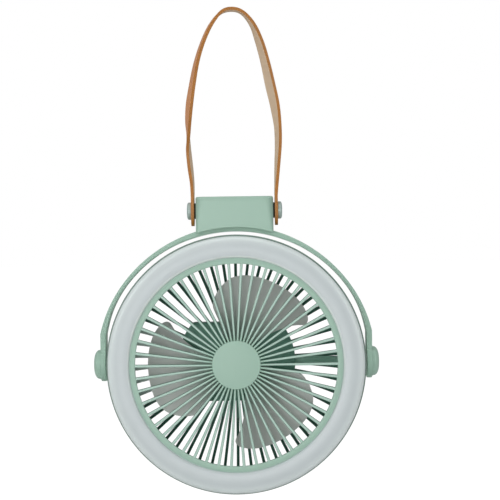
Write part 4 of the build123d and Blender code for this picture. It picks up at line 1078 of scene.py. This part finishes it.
washer_r, washer_end = 5.9 * MM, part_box("strap_washers")[1].x
washer = tube("right_strap_washer", shank_r + 0.05 * MM, washer_r, block_high.x, washer_end, "X", 56)
soften(washer, 0.3 * MM)
left_stud, left_washer = copied(stud, "left_strap_stud"), copied(washer, "left_strap_washer")
rubber = moulded("black_rubber", (0.022, 0.026, 0.024), 0.75, cloud=0.2, grain=0.1)
stud_paint = moulded("grey_green_stud_paint", (0.40, 0.50, 0.47), 0.4, metallic=0.2)
for right, left, finish, node, slot in (
    (stud, left_stud, stud_paint, "strap_studs", "stud_finish"),
    (washer, left_washer, rubber, "strap_washers", "washer_rubber"),
):
    turn_mesh(left, 180, "Z")
    for piece in (right, left):
        move_mesh(piece, z=stud_z)
        dress(piece, finish)
        fit(piece, node, "bracket")


# ---------------------------------------------------------------- strap
# One strip of tan leather, smooth outside and suede inside, with burnished edges and round ends.
# It loops up from the studs, and its upper part is turned a little about the vertical.
strap_half_width = 7.5 * MM
strap_thickness = 2.3 * MM
strap_x = 31.35 * MM
strap_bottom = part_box("strap")[0].z
strap_tail = 22.1 * MM
strap_flat_top = strap_bottom + strap_tail
strap_rise = 140.5 * MM
# share of the strap's half spread, share of its rise, degrees turned about the vertical, and degrees
# rolled about its own run, along the loop
stations = [
    (-1, 0, 0, 0), (-1.008, 0.065, -2, 0), (-1.05, 0.16, -6, 0), (-1.09, 0.27, -3, 0),
    (-1.078, 0.378, 10.5, 0), (-1.035, 0.485, 16, 0), (-0.962, 0.595, 14, 0), (-0.855, 0.716, 11.5, 0),
    (-0.7, 0.824, 10.5, 0), (-0.504, 0.916, 11, 0), (-0.265, 0.982, 11, 0), (0, 1, 10, 4),
    (0.255, 0.983, 9, 7), (0.491, 0.92, 10, 3), (0.654, 0.83, 15, 0), (0.793, 0.717, 18, 0),
    (0.901, 0.604, 21, 0), (1.004, 0.497, 19, 0), (1.066, 0.391, 13, 0), (1.077, 0.284, 11, 0),
    (1.048, 0.177, 8, 0), (1.02, 0.077, 3.5, 0), (1, 0, 0, 0),
]


def strap_place(station):
    """Middle of the leather, its turn about the vertical and its roll, at a fractional station."""
    share_x, share_z, turn, roll = through(stations, station)
    x, z = strap_x * share_x, strap_flat_top + strap_rise * share_z
    turn, roll = radians(turn), radians(roll)
    return Vector((x, x * sin(turn), z)), turn, roll


# rows along the strip: a tail, close together round its end, then the loop, and the other tail
tail_rows, round_rows, loop_rows, cross = 14, 5, 132, 10
tail_heights = [strap_tail * (1 - cos(pi / 2 * min(k, round_rows) / tail_rows)) for k in range(tail_rows)]
straight_run = strap_tail - tail_heights[round_rows]
for k in range(round_rows + 1, tail_rows):
    tail_heights[k] += straight_run * (k - round_rows) / (tail_rows - round_rows)
last_station = len(stations) - 1
strip = [("tail", height) for height in tail_heights]
strip += [("loop", k / loop_rows * last_station) for k in range(loop_rows + 1)]
strip += [("far tail", height) for height in reversed(tail_heights)]
last_row = len(strip) - 1
strap = new_piece("leather_hanging_strap", add_grid, x_subdivisions=cross, y_subdivisions=last_row, size=2)
for vertex in strap.data.vertices:
    kind, value = strip[round((vertex.co.y + 1) / 2 * last_row)]
    across = vertex.co.x
    if kind == "loop":
        place, turn, roll = strap_place(value)
        ahead = strap_place(value + 0.05)[0] - strap_place(value - 0.05)[0]
        if value in (0, last_station):
            ahead = Vector((0, 0, 1 if value == 0 else -1))
        ahead.normalize()
        side = Vector((-sin(turn), cos(turn), 0))
        side = (side - ahead * side.dot(ahead)).normalized()
        side = side * cos(roll) + ahead.cross(side) * sin(roll)
        vertex.co = place + side * across * strap_half_width
    else:
        end_x = -strap_x if kind == "tail" else strap_x
        below = max(strap_half_width - value, 0)
        vertex.co = (end_x, across * sqrt(max(strap_half_width**2 - below**2, 0)), strap_bottom + value)
bpy.ops.object.mode_set(mode="EDIT")
bpy.ops.mesh.select_all(action="SELECT")
bpy.ops.mesh.remove_doubles(threshold=0.02 * MM)
bpy.ops.object.mode_set(mode="OBJECT")


def leather(name, color, deep, grain_size, depth, roughness):
    """Leather: a cloudy tan with darker pores, and the same pores as relief."""
    material, tree, shader = new_material(name)
    place = add_node(tree, "TexCoord").outputs["Object"]
    pores = add_node(tree, "TexVoronoi", {"Vector": place, "Scale": grain_size}).outputs["Distance"]
    cloud = add_node(tree, "TexNoise", {"Vector": place, "Scale": 90, "Detail": 5}).outputs["Fac"]
    mixed = calc(tree, "MULTIPLY_ADD", pores, 0.6, cloud)
    bump = add_node(tree, "Bump", {"Height": mixed, "Strength": depth, "Distance": 0.15 * MM})
    fill(shader, {
        "Base Color": tinted(tree, mixed, deep, color),
        "Roughness": roughness,
        "Normal": bump.outputs["Normal"],
    })
    return material


dress(
    strap,
    leather("suede_flesh_side", (0.70, 0.54, 0.38), (0.54, 0.395, 0.265), 2600, 0.7, 0.95),
    leather("tan_grain_leather", (0.66, 0.295, 0.115), (0.48, 0.19, 0.062), 1400, 0.25, 0.5),
    leather("burnished_leather_edge", (0.42, 0.17, 0.030), (0.28, 0.098, 0.013), 900, 0.2, 0.45),
)
apply(strap, "SOLIDIFY", thickness=strap_thickness, offset=0, material_offset=1, material_offset_rim=2)
apply(strap, "BEVEL", width=0.4 * MM, segments=3, limit_method="ANGLE", angle_limit=radians(50), material=2)
smooth(strap, 50)
fit(strap, "strap", "strap")


# ---------------------------------------------------------------- studio
# A plain white studio: a floor below the hanging fan, a white surround, and soft lamps.
floor_drop = 40 * MM


def seen_directly(tree):
    """1 for rays from the camera, and for those that went on through clear matter."""
    rays = add_node(tree, "LightPath").outputs
    return calc(tree, "MAXIMUM", rays["Is Camera Ray"], rays["Is Transmission Ray"])


floor_place = (0, 0, cad_box[0].z - floor_drop)
floor = new_piece("studio_floor", bpy.ops.mesh.primitive_plane_add, size=40, location=floor_place)
floor_paper, tree, paper = new_material("white_floor_paper")
fill(paper, {"Base Color": (0.8, 0.8, 0.8), "Roughness": 0.9})
white = add_node(tree, "Emission", {"Strength": 1.12})
mix = add_node(tree, "MixShader", {
    "Fac": calc(tree, "MULTIPLY", seen_directly(tree), 0.9),
    1: paper.outputs["BSDF"],
    2: white.outputs["Emission"],
})
fill(tree.nodes["Material Output"], {"Surface": mix.outputs["Shader"]})
dress(floor, floor_paper)

world = bpy.data.worlds.new("studio_surround")
bpy.context.scene.world = world
world.use_nodes = True
tree = world.node_tree
level = add_node(tree, "Mix", {"Factor": seen_directly(tree), "A": 0.38, "B": 1.0}, data_type="FLOAT")
fill(tree.nodes["Background"], {"Strength": level.outputs["Result"], "Color": (1, 1, 1)})


def lamp(name, place, aim, size, power):
    """A square softbox at a place, turned towards its aim."""
    light = bpy.data.lights.new(name, "AREA")
    light.shape, light.size, light.energy = "SQUARE", size, power
    holder = bpy.data.objects.new(name, light)
    bpy.context.collection.objects.link(holder)
    holder.location = place
    holder.rotation_euler = (Vector(aim) - Vector(place)).to_track_quat("-Z", "Y").to_euler()


fan_middle = (0, 0, axis_z)
lamp("left_softbox", (-1.1, -1.0, axis_z + 0.5), fan_middle, 0.7, 6.4)
lamp("right_softbox", (1.1, -0.9, axis_z + 0.4), fan_middle, 0.7, 3.4)
lamp("top_softbox", (0, -0.3, axis_z + 1.2), fan_middle, 0.8, 3.3)
lamp("front_softbox", (-0.2, -1.7, axis_z - 0.1), fan_middle, 0.5, 7.6)
lamp("low_softbox", (-0.3, -1.2, axis_z - 0.8), fan_middle, 1.4, 8.5)

scene = bpy.context.scene
scene.view_settings.view_transform = "Standard"
camera = bpy.data.objects.new("studio_camera", bpy.data.cameras.new("studio_camera"))
bpy.context.collection.objects.link(camera)
camera.location = (0.0112, ring_front - 1.0, axis_z + 0.0844)
camera.rotation_euler = (radians(90), radians(0.8), 0)
camera.data.lens = 98.3
camera.data.sensor_width = 36
scene.camera = camera
